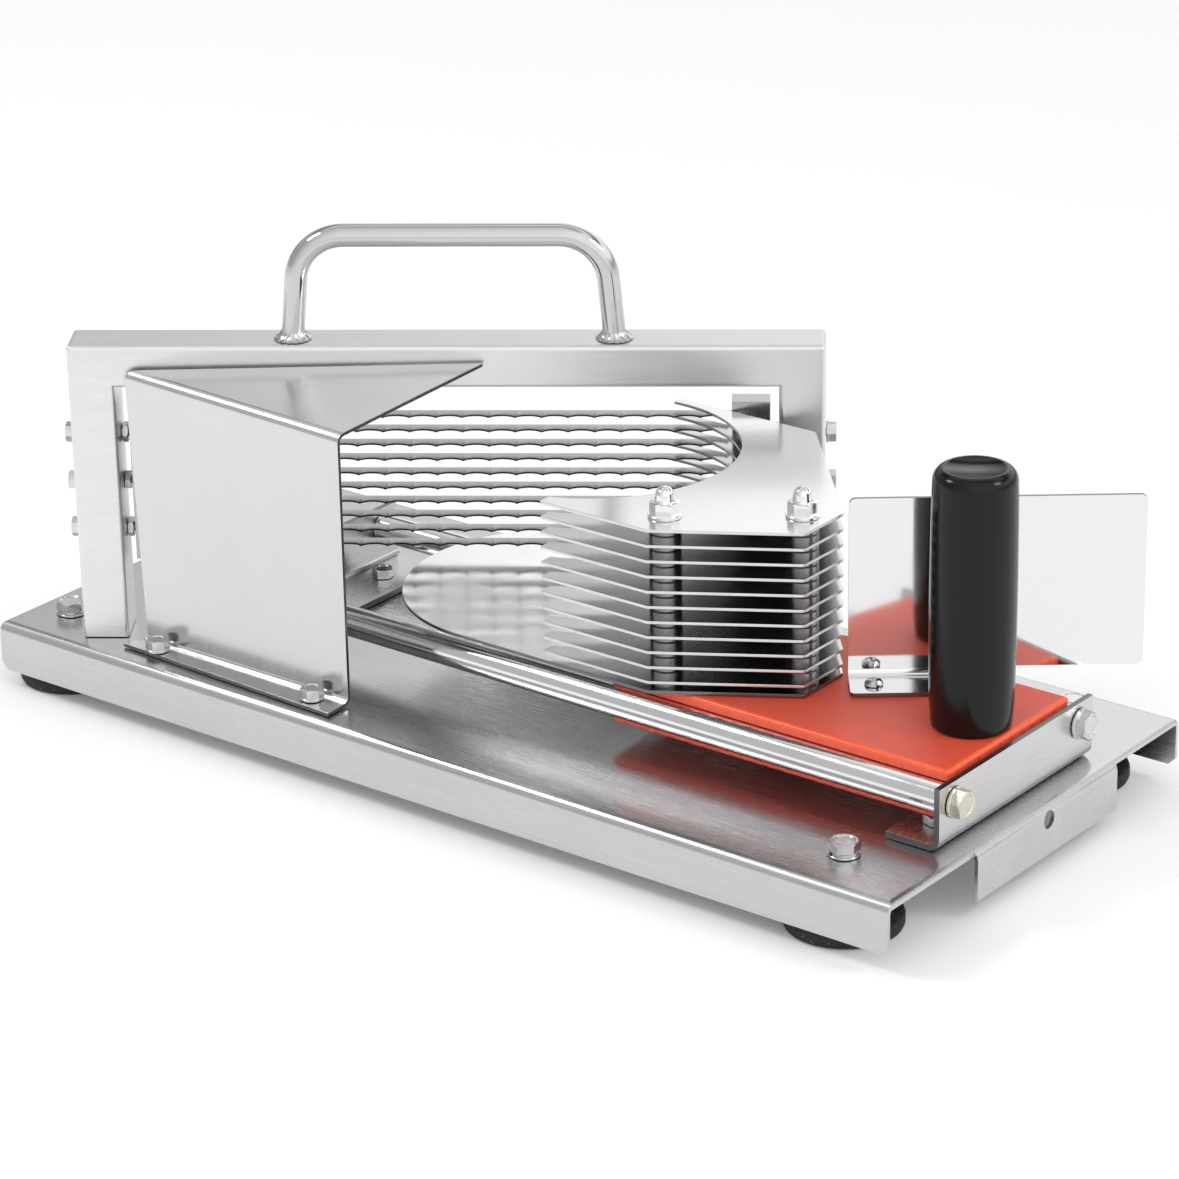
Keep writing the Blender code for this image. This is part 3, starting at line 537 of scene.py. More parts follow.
def weight_edges(mesh, chosen):
    """Gives a full bevel weight to the edges whose two end points pass the test."""
    layer = mesh.attributes.new("bevel_weight_edge", "FLOAT", "EDGE")
    for edge in mesh.edges:
        first, second = (mesh.vertices[index].co for index in edge.vertices)
        layer.data[edge.index].value = 1.0 if chosen(first, second) else 0.0


def bevelled(mesh, width, segments, angle=40, weight=False):
    """The mesh with its edges rounded, either all sharp ones or those that have a weight."""
    obj = loose(mesh)
    modifier = obj.modifiers.new("bevel", "BEVEL")
    modifier.width = width
    modifier.segments = segments
    modifier.limit_method = "WEIGHT" if weight else "ANGLE"
    modifier.angle_limit = math.radians(angle)
    result = evaluated(obj)
    layer = result.attributes.get("bevel_weight_edge")
    if layer:
        result.attributes.remove(layer)
    return result


def refined(node, width, segments=2, angle=35):
    """A CAD node's mesh welded to whole faces, with its sharp edges softened."""
    mesh = tidy(nodes[node].data.copy())
    return finished(bevelled(mesh, width, segments, angle), 40)


def weighted(obj):
    """Turns the normals of rounded edges towards their large flat neighbours."""
    modifier = obj.modifiers.new("normals", "WEIGHTED_NORMAL")
    modifier.keep_sharp = True
    return obj


def bent_sheet(name, points, faces, thickness, bend):
    """A sheet from flat faces with rounded bends. Its rim is the mesh's second surface."""
    bm = bmesh.new()
    corners = [bm.verts.new(point) for point in points]
    for face in faces:
        bm.faces.new([corners[index] for index in face])
    bmesh.ops.recalc_face_normals(bm, faces=bm.faces)
    layer = bm.edges.layers.float.new("bevel_weight_edge")
    for edge in bm.edges:
        edge[layer] = 1.0 if len(edge.link_faces) == 2 else 0.0
    mesh = bpy.data.meshes.new(name)
    bm.to_mesh(mesh)
    bm.free()
    obj = loose(mesh)
    modifier = obj.modifiers.new("bend", "BEVEL")
    modifier.width = bend
    modifier.segments = 8
    modifier.limit_method = "WEIGHT"
    modifier = obj.modifiers.new("sheet", "SOLIDIFY")
    modifier.thickness = thickness
    modifier.offset = 0.0
    modifier.use_even_offset = True
    modifier.material_offset_rim = 1
    place_holders(mesh)
    modifier = obj.modifiers.new("rim", "BEVEL")
    modifier.width = 0.25 * MM
    modifier.segments = 2
    modifier.limit_method = "ANGLE"
    modifier.angle_limit = math.radians(50)
    result = evaluated(obj)
    result.name = name
    return finished(result, 40)


def filleted(outline, radii, steps):
    """A closed 2D outline with each corner rounded by its own radius."""
    result = []
    count = len(outline)
    for index in range(count):
        corner = Vector(outline[index])
        radius = radii[index]
        before = (Vector(outline[index - 1]) - corner).normalized()
        after = (Vector(outline[(index + 1) % count]) - corner).normalized()
        bend = math.acos(max(-1.0, min(1.0, before.dot(after))))
        if radius <= 0 or bend > math.radians(176):
            result.append(corner)
            continue
        reach = radius / math.tan(bend / 2)
        start, end = corner + before * reach, corner + after * reach
        centre = corner + (before + after).normalized() * (radius / math.sin(bend / 2))
        first, last = start - centre, end - centre
        sweep = first.angle_signed(last)
        for step in range(steps + 1):
            turn = -sweep * step / steps
            result.append(centre + Vector((first.x * math.cos(turn) - first.y * math.sin(turn),
                                           first.x * math.sin(turn) + first.y * math.cos(turn))))
    return result


def flat_plate(name, outline, low, thickness):
    """A flat plate with the given outline. Its softened rim is the mesh's second surface."""
    bm = bmesh.new()
    base = bm.faces.new([bm.verts.new((point[0], point[1], low)) for point in outline])
    grown = bmesh.ops.extrude_face_region(bm, geom=[base])
    moved = [item for item in grown["geom"] if isinstance(item, bmesh.types.BMVert)]
    bmesh.ops.translate(bm, verts=moved, vec=(0, 0, thickness))
    bmesh.ops.recalc_face_normals(bm, faces=bm.faces)
    mesh = bpy.data.meshes.new(name)
    bm.to_mesh(mesh)
    bm.free()
    for face in mesh.polygons:
        face.material_index = 0 if abs(face.normal.z) > 0.9 else 1
    place_holders(mesh)
    return finished(bevelled(mesh, 0.2 * MM, 2, 50), 35)


def on_frame(u, back, height):
    """World point at u along the blade frame, back behind its face, height over the base."""
    return FRAME_CORNER + ALONG_FRAME * u + BEHIND_FRAME * back + Vector((0, 0, height))


def pointing(seat, direction, spin=0.0):
    """A matrix that seats an object's +Z along direction at a point."""
    turn = Vector(direction).to_track_quat("Z", "Y").to_matrix().to_4x4()
    return Matrix.Translation(Vector(seat)) @ turn @ Matrix.Rotation(spin, 4, "Z")


FRAME_PLACE = Matrix.Translation(FRAME_CORNER) @ Matrix.Rotation(FRAME_ANGLE, 4, "Z")

# ---------------------------------------------------------------- base and feet

base_mesh = refined("base_tray", 0.25 * MM, 2, 50)
weighted(show("base_sheet", base_mesh, BASE_STEEL, FIXED, ["base_tray"]))


def foot_mesh():
    """A round rubber foot: a neck under the base on a wider pad with a hollow below."""
    bm = bmesh.new()
    top = BASE_TOP - SHEET - GAP
    neck = [(3.4 * MM, top), (14.6 * MM, top), (15 * MM, top - 0.5 * MM),
            (15 * MM, FOOT_STAND + 0.1 * MM), (15.6 * MM, FOOT_STAND - 0.4 * MM)]
    pad = [(20.4 * MM, FOOT_STAND - 0.7 * MM), (21.5 * MM, FOOT_STAND - 1.3 * MM),
           (22 * MM, FOOT_STAND - 2.5 * MM), (22 * MM, 1.6 * MM), (21.5 * MM, 0.5 * MM),
           (20.5 * MM, 0.0), (9 * MM, 0.0), (8.4 * MM, 1.6 * MM), (0.0, 1.6 * MM)]
    turned(bm, neck + pad, 72)
    return mesh_of(bm, "rubber_foot")


def bolt_mesh(name, thread, flats, head, washer_outer, length, spring=False, plain_washer=True):
    """A hexagon bolt on its washers, seated at z = 0, with its threaded shank below."""
    bm = bmesh.new()
    seat = 0.0
    if plain_washer:
        washer_height = 0.75 * MM if spring else 1.2 * MM
        washer(bm, thread * 0.52, washer_outer / 2, seat, washer_height)
        seat += washer_height
    if spring:
        split_washer(bm, thread * 0.55, flats * 0.53, seat, 1.3 * MM)
        seat += 1.1 * MM
        head -= 1.0 * MM
    hexagon(bm, flats, seat, head, dish=0.35 * MM)
    threaded(bm, thread / 2, seat + 0.2 * MM, -length, 0.16 * thread)
    return mesh_of(bm, name, 28)


foot = foot_mesh()
base_bolt = bolt_mesh("base_bolt", 6 * MM, 10.4 * MM, 4.6 * MM, 12 * MM, 15.5 * MM, spring=True)
feet = [(depth + "_" + side, x, y) for depth, y in zip(("front", "back"), FOOT_Y)
        for side, x in zip(("left", "right"), FOOT_X)]
for order, (corner, x, y) in enumerate(feet):
    show("rubber_foot_" + corner, foot, RUBBER, FIXED, ["foot_" + corner],
         Matrix.Translation((x, y, 0.0)))
    show("base_bolt_" + corner, base_bolt, BOLT_ZINC, FIXED, ["foot_bolt_" + corner],
         pointing((x, y, BASE_TOP + GAP), (0, 0, 1), 0.5 + 0.7 * order))

# ---------------------------------------------------------------- blade frame


def frame_mesh():
    """A doorway of folded channel: rounded folds in front, open at the back."""
    past = 5 * MM
    behind = FRAME_DEPTH + past
    right_leg, under_rail = FRAME_WIDTH - FRAME_LEG, FRAME_HEIGHT - FRAME_RAIL
    shell = cut(box_mesh((0, 0, GAP), (FRAME_WIDTH, FRAME_DEPTH, FRAME_HEIGHT)),
                [box_mesh((FRAME_LEG, -past, -past), (right_leg, behind, under_rail))])
    near = 0.1 * MM

    def folded(first, second):
        in_front = first.y < near and second.y < near
        on_base = first.z < MM and second.z < MM
        on_top = min(first.z, second.z) > FRAME_HEIGHT - near
        return (in_front and not on_base) or (on_top and abs(first.x - second.x) < near)

    weight_edges(shell, folded)
    shell = bevelled(shell, 1.8 * MM, 6, weight=True)
    inner_top = FRAME_HEIGHT - SHEET
    hollows = [
        ((SHEET, SHEET, GAP + SHEET), (FRAME_LEG - SHEET, behind, inner_top)),
        ((right_leg + SHEET, SHEET, GAP + SHEET), (FRAME_WIDTH - SHEET, behind, inner_top)),
        ((SHEET, SHEET, under_rail + SHEET), (FRAME_WIDTH - SHEET, behind, inner_top)),
    ]
    shell = cut(shell, [box_mesh(low, high) for low, high in hollows])
    return finished(bevelled(shell, 0.2 * MM, 2, 60), 40)


weighted(show("frame_channel", frame_mesh(), FRAME_STEEL, FIXED, ["blade_frame"], FRAME_PLACE))


def blade_mesh():
    """A blade whose scalloped front is ground from both faces to a thin edge."""
    start = FRAME_LEG + HOLDER_INSET + HOLDER_WIDTH - BLADE_ENTRY
    end = FRAME_WIDTH - start
    plain = BLADE_ENTRY + 2 * MM
    teeth = round((end - start - 2 * plain) / SCALLOP_PITCH)
    pitch = (end - start - 2 * plain) / teeth
    cusp = BLADE_BACK - BLADE_WIDTH
    blunt = cusp + SCALLOP_DEPTH
    per_tooth = 10
    samples = [(start, blunt), (start + plain - 0.4 * MM, blunt)]
    for index in range(teeth * per_tooth + 1):
        share = (index % per_tooth) / per_tooth
        depth = math.sin(math.pi * share) ** 0.6 if share else 0.0
        samples.append((start + plain + pitch * index / per_tooth,
                        cusp + 0.2 * MM + (SCALLOP_DEPTH - 0.2 * MM) * depth))
    samples += [(end - plain + 0.4 * MM, blunt), (end, blunt)]
    half = BLADE_THICKNESS / 2
    bm = bmesh.new()
    rings = []
    for x, edge in samples:
        shoulder = edge + 0.9 * MM
        rings.append([Vector((x, BLADE_BACK, half)), Vector((x, BLADE_BACK, -half)),
                      Vector((x, shoulder, -half)), Vector((x, edge, -0.08 * MM)),
                      Vector((x, edge, 0.08 * MM)), Vector((x, shoulder, half))])
    ring_loft(bm, rings)
    # The faces along the ground edge take the second material, which is painted near-black as shade.
    for face in bm.faces:
        middle = sum((vertex.co.y for vertex in face.verts), 0.0) / len(face.verts)
        near_edge = max(vertex.co.y for vertex in face.verts) < BLADE_BACK - 3 * MM
        face.material_index = 1 if near_edge and middle < blunt + 1.2 * MM else 0
    return mesh_of(bm, "blade", 20)


blade = blade_mesh()
for number in range(1, BLADE_COUNT + 1):
    height = BLADE_MIDDLE + SLICE_PITCH * ((BLADE_COUNT - 1) / 2 - (number - 1))
    show("serrated_blade_%02d" % number, blade, [BLADE_STEEL, BLADE_EDGE_SHADE], FIXED,
         ["blade_%02d" % number], Matrix.Translation((0, 0, height)) @ FRAME_PLACE)

for side in ("left", "right"):
    node = "blade_holder_" + side
    weighted(show("holder_bar_" + side, refined(node, 0.3 * MM), HOLDER_STEEL, FIXED, [node]))


def tension_mesh():
    """The tension bolt: head outside the frame's leg, jam nut in the gap before the holder."""
    bm = bmesh.new()
    washer(bm, 2.1 * MM, 4.4 * MM, 0.0, 0.9 * MM)
    hexagon(bm, 7 * MM, 0.9 * MM, 3.1 * MM, dish=0.25 * MM)
    threaded(bm, 2 * MM, 1.0 * MM, -FRAME_LEG - HOLDER_INSET - 3.9 * MM, 0.7 * MM)
    hexagon(bm, 7 * MM, -FRAME_LEG - 2.9 * MM, 2.4 * MM, chamfer_both=True)
    return mesh_of(bm, "tension_bolt", 28)


tension = tension_mesh()
for side, u, outward in (("left", 0.0, -ALONG_FRAME), ("right", FRAME_WIDTH, ALONG_FRAME)):
    for number, step in enumerate((1, 0, -1), start=1):
        seat = on_frame(u, TENSION_OFFSET, BLADE_MIDDLE + step * TENSION_SPACING) + outward * GAP
        show("tension_screw_%s_%d" % (side, number), tension, BOLT_ZINC, FIXED,
             ["tension_bolt_%s_%d" % (side, number)], pointing(seat, outward, 0.4 * number))

# ---------------------------------------------------------------- carrying handle


def carry_path():
    """The handle's centreline as (u, height) points in the frame's plane."""
    foot_point = Vector((CARRY_SPAN / 2, FRAME_HEIGHT + GAP + CARRY_RADIUS * math.sin(CARRY_SPLAY)))
    lean = Vector((-math.sin(CARRY_SPLAY), math.cos(CARRY_SPLAY)))
    turn = math.pi / 2 - CARRY_SPLAY
    corner = foot_point + lean * (CARRY_RISE / math.cos(CARRY_SPLAY))
    start = corner - lean * (CARRY_BEND * math.tan(turn / 2))
    centre = start + Vector((-lean.y, lean.x)) * CARRY_BEND
    arm = start - centre
    half = [foot_point]
    steps = 20
    for step in range(steps + 1):
        angle = turn * step / steps
        half.append(centre + Vector((arm.x * math.cos(angle) - arm.y * math.sin(angle),
                                     arm.x * math.sin(angle) + arm.y * math.cos(angle))))
    half.append(Vector((0.0, half[-1].y)))
    return half + [Vector((-point.x, point.y)) for point in half[-2::-1]]


def handle_mesh():
    """A round bar swept along the path, with a rippled weld bead round each foot."""
    path = carry_path()
    sides = 40
    bm = bmesh.new()
    rings = []
    for index, point in enumerate(path):
        before = path[max(index - 1, 0)]
        after = path[min(index + 1, len(path) - 1)]
        heading = (after - before).normalized()
        normal = Vector((-heading.y, heading.x))
        ring = []
        for step in range(sides):
            angle = 2 * math.pi * step / sides
            out, back = CARRY_RADIUS * math.cos(angle), CARRY_RADIUS * math.sin(angle)
            spot = point + normal * out
            ring.append(Vector((CARRY_MIDDLE + spot.x, FRAME_DEPTH / 2 + back, spot.y)))
        rings.append(ring)
    ring_loft(bm, rings)
    weld = ((4.3, 3.6), (4.75, 2.7), (5.4, 1.6), (6.5, 0.7), (7.3, 0.32), (7.3, 0.3))
    count = 60
    for sign in (-1, 1):
        bead = []
        for radius, height in weld:
            ring = []
            for step in range(count):
                angle = 2 * math.pi * step / count
                ripple = 1 + 0.05 * math.sin(angle * 17 + sign) * (radius > 4.5)
                lean = -sign * math.tan(CARRY_SPLAY) * height * MM
                x = CARRY_MIDDLE + sign * CARRY_SPAN / 2 + lean + radius * ripple * MM * math.cos(angle)
                y = FRAME_DEPTH / 2 + radius * ripple * MM * math.sin(angle)
                ring.append(Vector((x, y, FRAME_HEIGHT + height * MM)))
            bead.append(ring)
        ring_loft(bm, bead)
    return mesh_of(bm, "handle_bar", 40)


show("handle_bar", handle_mesh(), BAR_STEEL, FIXED, ["carrying_handle"], FRAME_PLACE)

# ---------------------------------------------------------------- front guard

guard_low = BASE_TOP + GAP + SHEET / 2
guard_points = [
    (GUARD_LEFT_X, GUARD_Y, guard_low), (GUARD_RIGHT_X, GUARD_Y, guard_low),
    (GUARD_RIGHT_X, GUARD_Y, BASE_TOP + GUARD_RISE[1]),
    (GUARD_LEFT_X - 4.5 * MM, GUARD_Y, BASE_TOP + GUARD_RISE[0]),
    (GUARD_RIGHT_X + 1 * MM, -91 * MM, guard_low), (GUARD_LEFT_X - 5 * MM, -87 * MM, guard_low),
    tuple(on_frame(GUARD_TOUCH[0], -SHEET - GAP, GUARD_TOUCH[1])),
]
guard_faces = [(0, 1, 2, 3), (1, 0, 5, 4), (2, 6, 3)]
guard_mesh = bent_sheet("guard_sheet", guard_points, guard_faces, SHEET, GUARD_BEND)
weighted(show("guard_sheet", guard_mesh, [GUARD_STEEL, SHEET_RIM_SHADE], FIXED, ["front_guard"]))
guard_bolt = bolt_mesh("guard_bolt", 5 * MM, 8 * MM, 3.5 * MM, 9.6 * MM, 8.5 * MM)
for side, x in zip(("left", "right"), GUARD_BOLTS_X):
    show("guard_screw_" + side, guard_bolt, BOLT_ZINC, FIXED, ["guard_bolt_" + side],
         pointing((x, GUARD_BOLTS_Y, BASE_TOP + 2 * GAP + SHEET), (0, 0, 1), 0.3))

# ---------------------------------------------------------------- rods and brackets

for name, x, flange, side in (("rear_bracket", REAR_BRACKET_X, 23 * MM, 1),
                              ("front_bracket", FRONT_BRACKET_X, 28 * MM, -1)):
    wall = x - side * BRACKET_SHEET / 2
    low = BASE_TOP + GAP + BRACKET_SHEET / 2
    near, far = RAIL_Y - BRACKET_LENGTH / 2, RAIL_Y + BRACKET_LENGTH / 2
    tip = x - side * flange
    points = [(tip, near, low), (tip, far, low), (wall, far, low), (wall, near, low),
              (wall, far, BASE_TOP + BRACKET_HEIGHT), (wall, near, BASE_TOP + BRACKET_HEIGHT)]
    mesh = bent_sheet(name + "_sheet", points, [(0, 1, 2, 3), (3, 2, 4, 5)], BRACKET_SHEET, BRACKET_BEND)
    weighted(show(name + "_sheet", mesh, [BRACKET_STEEL, SHEET_RIM_SHADE], FIXED, [name]))


def guide_mesh(length):
    """A guide rod with chamfered ends, from its start at z = 0."""
    bm = bmesh.new()
    soft = 0.6 * MM
    turned(bm, [(0.0, 0.0), (ROD_RADIUS - soft, 0.0), (ROD_RADIUS, soft), (ROD_RADIUS, length - soft),
                (ROD_RADIUS - soft, length), (0.0, length)], 96)
    return mesh_of(bm, "guide_bar")


rod_start = FRONT_BRACKET_X + BRACKET_SHEET + GAP
guide = guide_mesh(REAR_BRACKET_X - BRACKET_SHEET - GAP - rod_start)
rod_bolt = bolt_mesh("rod_bolt", 6 * MM, 10 * MM, 4 * MM, 12 * MM, 14.5 * MM)
for label, y in (("near", RAIL_Y - ROD_SPACING / 2), ("far", RAIL_Y + ROD_SPACING / 2)):
    show("guide_bar_" + label, guide, ROD_CHROME, FIXED, ["guide_rod_" + label],
         pointing((rod_start, y, ROD_Z), (1, 0, 0)))
    for end, x, side in (("rear", REAR_BRACKET_X, 1), ("front", FRONT_BRACKET_X, -1)):
        zinc = BOLT_YELLOW if (end, label) == ("rear", "near") else BOLT_ZINC
        spin = 0.25 if label == "near" else 0.9
        show("rod_screw_%s_%s" % (end, label), rod_bolt.copy(), zinc, FIXED,
             ["rod_bolt_%s_%s" % (end, label)],
             pointing((x + side * GAP, y, ROD_Z), (side, 0, 0), spin))

bracket_bolt = bolt_mesh("bracket_bolt", 5 * MM, 8 * MM, 3.5 * MM, 10 * MM, 9.5 * MM,
                         plain_washer=False)
for name, x, y in (("rear", REAR_BRACKET_X - 12 * MM, RAIL_Y - 35 * MM),
                   ("front", FRONT_BRACKET_X + 15 * MM, RAIL_Y + 27 * MM)):
    show("bracket_screw_" + name, bracket_bolt, BOLT_ZINC, FIXED, ["bracket_bolt_" + name],
         pointing((x, y, BASE_TOP + 2 * GAP + BRACKET_SHEET), (0, 0, 1), 0.2))

# ---------------------------------------------------------------- carriage

block_mesh = refined("slide_block", 0.4 * MM, 3, 50)
# The slanted faces along the block's top edge take the second material, whose lighter tone is a painted
# highlight.
for face in block_mesh.polygons:
    slanted = max(abs(channel) for channel in face.normal) < 0.98
    face.material_index = 1 if slanted and face.center.z > BLOCK_TOP - 2 * MM else 0
weighted(show("red_block", block_mesh, [RED, RED_CHAMFER_HIGHLIGHT], MOVING, ["slide_block"]))


def plate_outline():
    """Rear outline, horns and the round cradle that holds the tomato."""
    start = math.acos((HORNS_X[1] - CRADLE_CENTRE.x) / CRADLE_RADIUS)
    end = -math.acos((HORNS_X[0] - CRADLE_CENTRE.x) / CRADLE_RADIUS)
    near = CRADLE_CENTRE.y + CRADLE_RADIUS * math.sin(end)
    far = CRADLE_CENTRE.y + CRADLE_RADIUS * math.sin(start)
    outer = [(HORNS_X[0], near), (HORNS_X[0], STACK_NEAR), *STACK_REAR,
             (HORNS_X[1], STACK_FAR), (HORNS_X[1], far)]
    radii = [0.0, 0.8 * MM, *4 * [1.5 * MM], 0.6 * MM, 0.0]
    rear = filleted(outer, radii, 4)
    arc = []
    steps = 90
    for step in range(1, steps):
        angle = start + (end - start) * step / steps
        arc.append(CRADLE_CENTRE + Vector((math.cos(angle), math.sin(angle))) * CRADLE_RADIUS)
    return rear + arc


def tray_outline():
    """The plates' rear outline with a half-round nose in front."""
    radius = (STACK_FAR - STACK_NEAR) / 2
    centre = Vector((TRAY_TIP_X + radius, (STACK_FAR + STACK_NEAR) / 2))
    nose = []
    steps = 96
    for step in range(steps + 1):
        angle = math.pi / 2 + math.pi * step / steps
        nose.append(centre + Vector((math.cos(angle), math.sin(angle))) * radius)
    rear = filleted([nose[-1], *STACK_REAR, nose[0]], [0.0, *4 * [1.5 * MM], 0.0], 4)
    return rear[1:-1] + nose


plate_mesh = flat_plate("pusher_blade", plate_outline(), -PLATE_THICKNESS / 2, PLATE_THICKNESS)
top_plate_mesh = plate_mesh.copy()
plate_heights = [BASE_TOP + BLADE_MIDDLE + SLICE_PITCH * ((PLATE_COUNT - 1) / 2 - index)
                 for index in range(PLATE_COUNT)]
for number, height in enumerate(plate_heights, start=1):
    # The top plate keeps the lighter steel. The plates below it get the darker copy as painted shade.
    mesh, face = (top_plate_mesh, PLATE_STEEL) if number == 1 else (plate_mesh, PLATE_STEEL_SHADED)
    weighted(show("pusher_sheet_%02d" % number, mesh, [face, PLATE_RIM], MOVING,
                  ["pusher_plate_%02d" % number], Matrix.Translation((0, 0, height))))
tray_low = BLOCK_TOP + GAP
tray_mesh = flat_plate("tray_sheet", tray_outline(), tray_low, TRAY_THICKNESS)
weighted(show("tray_sheet", tray_mesh, [TRAY_STEEL, SHEET_RIM_SHADE], MOVING, ["pusher_tray"]))


def post_mesh():
    """Spacers between the plates, and on top a washer under a domed nut."""
    bm = bmesh.new()
    half_plate, air, soft = PLATE_THICKNESS / 2, 0.05 * MM, 0.35 * MM
    top = plate_heights[0] + half_plate
    tops = [height + half_plate for height in plate_heights[1:]] + [tray_low + TRAY_THICKNESS]
    for plate_middle, next_top in zip(plate_heights, tops):
        high, low = plate_middle - half_plate - air, next_top + air
        turned(bm, [(3 * MM, high), (6 * MM - soft, high), (6 * MM, high - soft),
                    (6 * MM, low + soft), (6 * MM - soft, low), (3 * MM, low)], 48)
    washer(bm, 3.2 * MM, 6.4 * MM, top + air, 1.35 * MM)
    nut = top + 1.4 * MM
    hexagon(bm, 10 * MM, nut, 4.6 * MM)
    dome = [(4.4, 4.3), (4.0, 4.75), (3.75, 5.3), (3.65, 6.2), (3.6, 7.4), (3.3, 8.5), (2.6, 9.45),
            (1.4, 10.1), (0.0, 10.3)]
    turned(bm, [(0.0, nut + 4.0 * MM)] + [(radius * MM, nut + level * MM) for radius, level in dome], 48)
    for face in bm.faces:
        face.material_index = 1 if face.calc_center_median().z < top else 0
    return mesh_of(bm, "stack_post", 32)


post = post_mesh()
for label, spot in zip(("near", "far"), STACK_BOLTS):
    show("stack_post_" + label, post, [NUT_CHROME, SPACER_STEEL], MOVING, ["stack_bolt_" + label],
         Matrix.Translation((spot.x, spot.y, 0.0)))


def grip_mesh():
    """A barrel-shaped grip with a rounded shoulder and a flat disc at its top."""
    bm = bmesh.new()
    h = GRIP_HEIGHT
    profile = [(0.0, h - 0.3 * MM), (GRIP_DISC - 0.8 * MM, h - 0.3 * MM),
               (GRIP_DISC - 0.5 * MM, h - 0.05 * MM), (GRIP_DISC, h)]
    steps = 10
    out, down = GRIP_SHOULDER
    for step in range(1, steps + 1):
        angle = math.pi / 2 * step / steps
        profile.append((GRIP_DISC + out * math.sin(angle), h - down * (1 - math.cos(angle))))
    for tenth in range(9, 0, -1):
        share = tenth / 10
        swell = GRIP_SWELL * math.sin(math.pi * (0.12 + 0.76 * share)) ** 0.7
        profile.append((GRIP_WAIST + swell, share * h))
    profile += [(14.95 * MM, 1.4 * MM), (14.8 * MM, 0.5 * MM), (14.2 * MM, 0.0), (0.0, 0.0)]
    turned(bm, profile, 96)
    return mesh_of(bm, "grip_moulding", 50)


show("grip_moulding", grip_mesh(), BLACK, MOVING, ["grip"],
     Matrix.Translation((GRIP_SPOT.x, GRIP_SPOT.y, BLOCK_TOP + GAP)))


def on_hand_guard(u, out, height):
    """World point at u along the hand guard, out towards the user."""
    direction = Vector((math.cos(HAND_GUARD_ANGLE), math.sin(HAND_GUARD_ANGLE), 0.0))
    user = Vector((direction.y, -direction.x, 0.0))
    return HAND_GUARD_START.to_3d() + direction * u + user * out + Vector((0, 0, height))


def hand_guard_mesh():
    """A mirror-bright plate with round corners and a foot bent towards the user."""
    foot_level = BLOCK_TOP + GAP + SHEET / 2
    reach, flange = HAND_GUARD_FOOT
    outline = [(0, 0), (reach, 0), (reach, HAND_GUARD_UNDERCUT), (HAND_GUARD_LENGTH, HAND_GUARD_UNDERCUT),
               (HAND_GUARD_LENGTH, HAND_GUARD_HEIGHT), (0, HAND_GUARD_HEIGHT)]
    upright = filleted(outline, [0.0, 0.0, 0.0, *3 * [2.5 * MM]], 5)
    toe = filleted([(0, 0), (reach, 0), (reach, flange), (0, flange)], [0.0, 0.0, *2 * [2.0 * MM]], 5)
    points = [on_hand_guard(u, 0.0, foot_level + z) for u, z in upright]
    points += [on_hand_guard(u, out, foot_level) for u, out in toe[2:]]
    first = len(upright)
    faces = [tuple(range(first)), (1, 0, *range(len(points) - 1, first - 1, -1))]
    return bent_sheet("hand_guard_sheet", points, faces, SHEET, 3.6 * MM)


weighted(show("hand_guard_sheet", hand_guard_mesh(), [GUARD_MIRROR, SHEET_RIM_SHADE], MOVING, ["hand_guard"]))


def cross_screw_mesh():
    """A small domed screw with a cross recess."""
    bm = bmesh.new()
    turned(bm, [(0.0, 2.3 * MM), (1.5 * MM, 2.15 * MM), (2.7 * MM, 1.6 * MM), (3.4 * MM, 0.8 * MM),
                (3.5 * MM, 0.0), (2.0 * MM, 0.0), (2.0 * MM, -11 * MM), (0.0, -11 * MM)], 48)
    head = mesh_of(bm, "guard_screw")
    arms = [box_mesh((-2.0 * MM, -0.35 * MM, 1.1 * MM), (2.0 * MM, 0.35 * MM, 4 * MM)),
            box_mesh((-0.35 * MM, -2.0 * MM, 1.1 * MM), (0.35 * MM, 2.0 * MM, 4 * MM))]
    return finished(cut(head, arms), 30)


screw_at = on_hand_guard(9 * MM, 10 * MM, BLOCK_TOP + GAP + SHEET + GAP)
show("guard_foot_screw", cross_screw_mesh(), BOLT_ZINC, MOVING, ["hand_guard_screw"],
     pointing(screw_at, (0, 0, 1), 0.5))

# ---------------------------------------------------------------- camera, floor and light

CAMERA_SPOT = (0.9660, -1.2152, 0.7055)
CAMERA_LOOK = Vector((-0.5692, 0.7275, -0.3831))
CAMERA_ROLL = math.radians(-0.99)

camera_data = bpy.data.cameras.new("camera")
camera_data.lens = 132.81
camera_data.sensor_width = 36.0
camera_data.shift_x = -0.00931
camera_data.shift_y = -0.00375
camera_data.clip_start = 0.05
camera = bpy.data.objects.new("camera", camera_data)
bpy.context.scene.collection.objects.link(camera)
look = CAMERA_LOOK.to_track_quat("-Z", "Y").to_matrix().to_4x4()
camera.matrix_world = Matrix.Translation(CAMERA_SPOT) @ look @ Matrix.Rotation(CAMERA_ROLL, 4, "Z")
bpy.context.scene.camera = camera


def floor_material():
    """Plain white paper, lifted a little by a faint glow of its own."""
    material, tree, shader = new_material("pale_floor")
    grain = noise_of(tree, (6.0, 6.0, 6.0), detail=2.0)
    tone = two_tone(tree, grain, (0.93, 0.93, 0.93), (0.945, 0.945, 0.945))
    tree.links.new(tone, shader.inputs["Base Color"])
    shader.inputs["Roughness"].default_value = 0.9
    shader.inputs["Emission Color"].default_value = (1.0, 1.0, 1.0, 1.0)
    shader.inputs["Emission Strength"].default_value = 0.08
    shader.inputs["Specular IOR Level"].default_value = 0.1
    return material


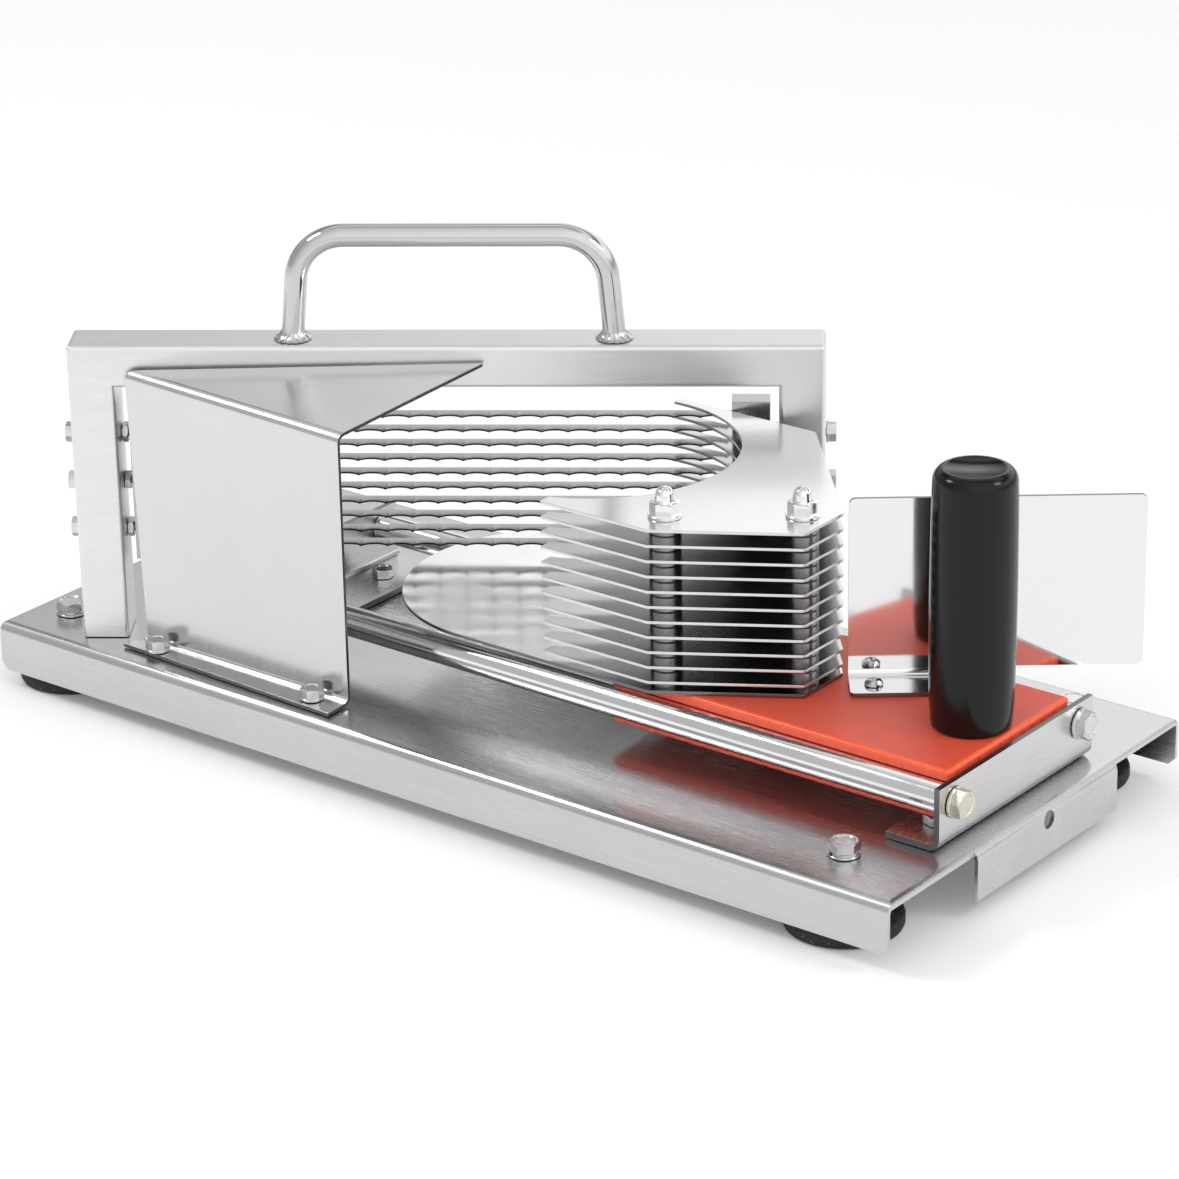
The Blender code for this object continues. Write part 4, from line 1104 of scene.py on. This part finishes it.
bm = bmesh.new()
bmesh.ops.create_grid(bm, x_segments=8, y_segments=8, size=12.0)
floor_mesh = bpy.data.meshes.new("floor")
bm.to_mesh(floor_mesh)
bm.free()
floor_mesh.materials.append(floor_material())
floor = bpy.data.objects.new("floor", floor_mesh)
floor.location.z = -0.2 * MM
bpy.context.scene.collection.objects.link(floor)


LIT_POINT = Vector((0, 0, 0.05))


def area_light(name, spot, power):
    """A small square lamp that faces the middle of the object."""
    data = bpy.data.lights.new(name, "AREA")
    data.shape = "SQUARE"
    data.size = 0.35
    data.energy = power
    lamp = bpy.data.objects.new(name, data)
    lamp.location = spot
    lamp.rotation_euler = (LIT_POINT - Vector(spot)).to_track_quat("-Z", "Y").to_euler()
    lamp.visible_camera = False
    bpy.context.scene.collection.objects.link(lamp)


area_light("key", (-0.80, -0.55, 1.10), 4.5)
area_light("fill", (1.10, 0.30, 1.00), 3.0)

# The room: bright and dark bands by height behind the object, and an even front
SKY_BANDS = ((0.14, 0.9), (0.24, 2.1), (0.50, 2.1), (0.58, 0.30), (0.68, 0.30), (0.76, 1.7),
             (0.84, 1.7), (0.93, 0.7))

world = bpy.data.worlds.new("studio")
world.use_nodes = True
bpy.context.scene.world = world
tree = world.node_tree
background = tree.nodes["Background"]
direction = add(tree, "ShaderNodeTexCoord")
split = add(tree, "ShaderNodeSeparateXYZ")
ramp = add(tree, "ShaderNodeValToRGB")
ramp.color_ramp.elements[0].position = 0.0
ramp.color_ramp.elements[0].color = (0.9, 0.9, 0.9, 1)
ramp.color_ramp.elements[1].position = 1.0
ramp.color_ramp.elements[1].color = (1.0, 1.0, 1.0, 1)
for position, level in SKY_BANDS:
    stop = ramp.color_ramp.elements.new(position)
    stop.color = (level, level, level, 1)
tree.links.new(direction.outputs["Generated"], split.inputs["Vector"])
tree.links.new(split.outputs["Z"], ramp.inputs["Fac"])
side_shade = mapped(tree, split.outputs["X"], 0.45, 1.0, -0.68, -0.53)
front_level = mapped(tree, split.outputs["X"], 0.8, 1.9, -0.6, 0.6)
banded = maths(tree, "MULTIPLY", ramp.outputs["Color"], side_shade)
behind = mapped(tree, split.outputs["Y"], 0.0, 1.0, -0.15, 0.25)
rear_part = maths(tree, "MULTIPLY", banded, behind)
front_part = maths(tree, "MULTIPLY", front_level, maths(tree, "SUBTRACT", 1.0, behind))
level = maths(tree, "ADD", rear_part, front_part)
tree.links.new(level, background.inputs["Color"])
background.inputs["Strength"].default_value = 0.67

bpy.context.scene.view_settings.view_transform = "Standard"
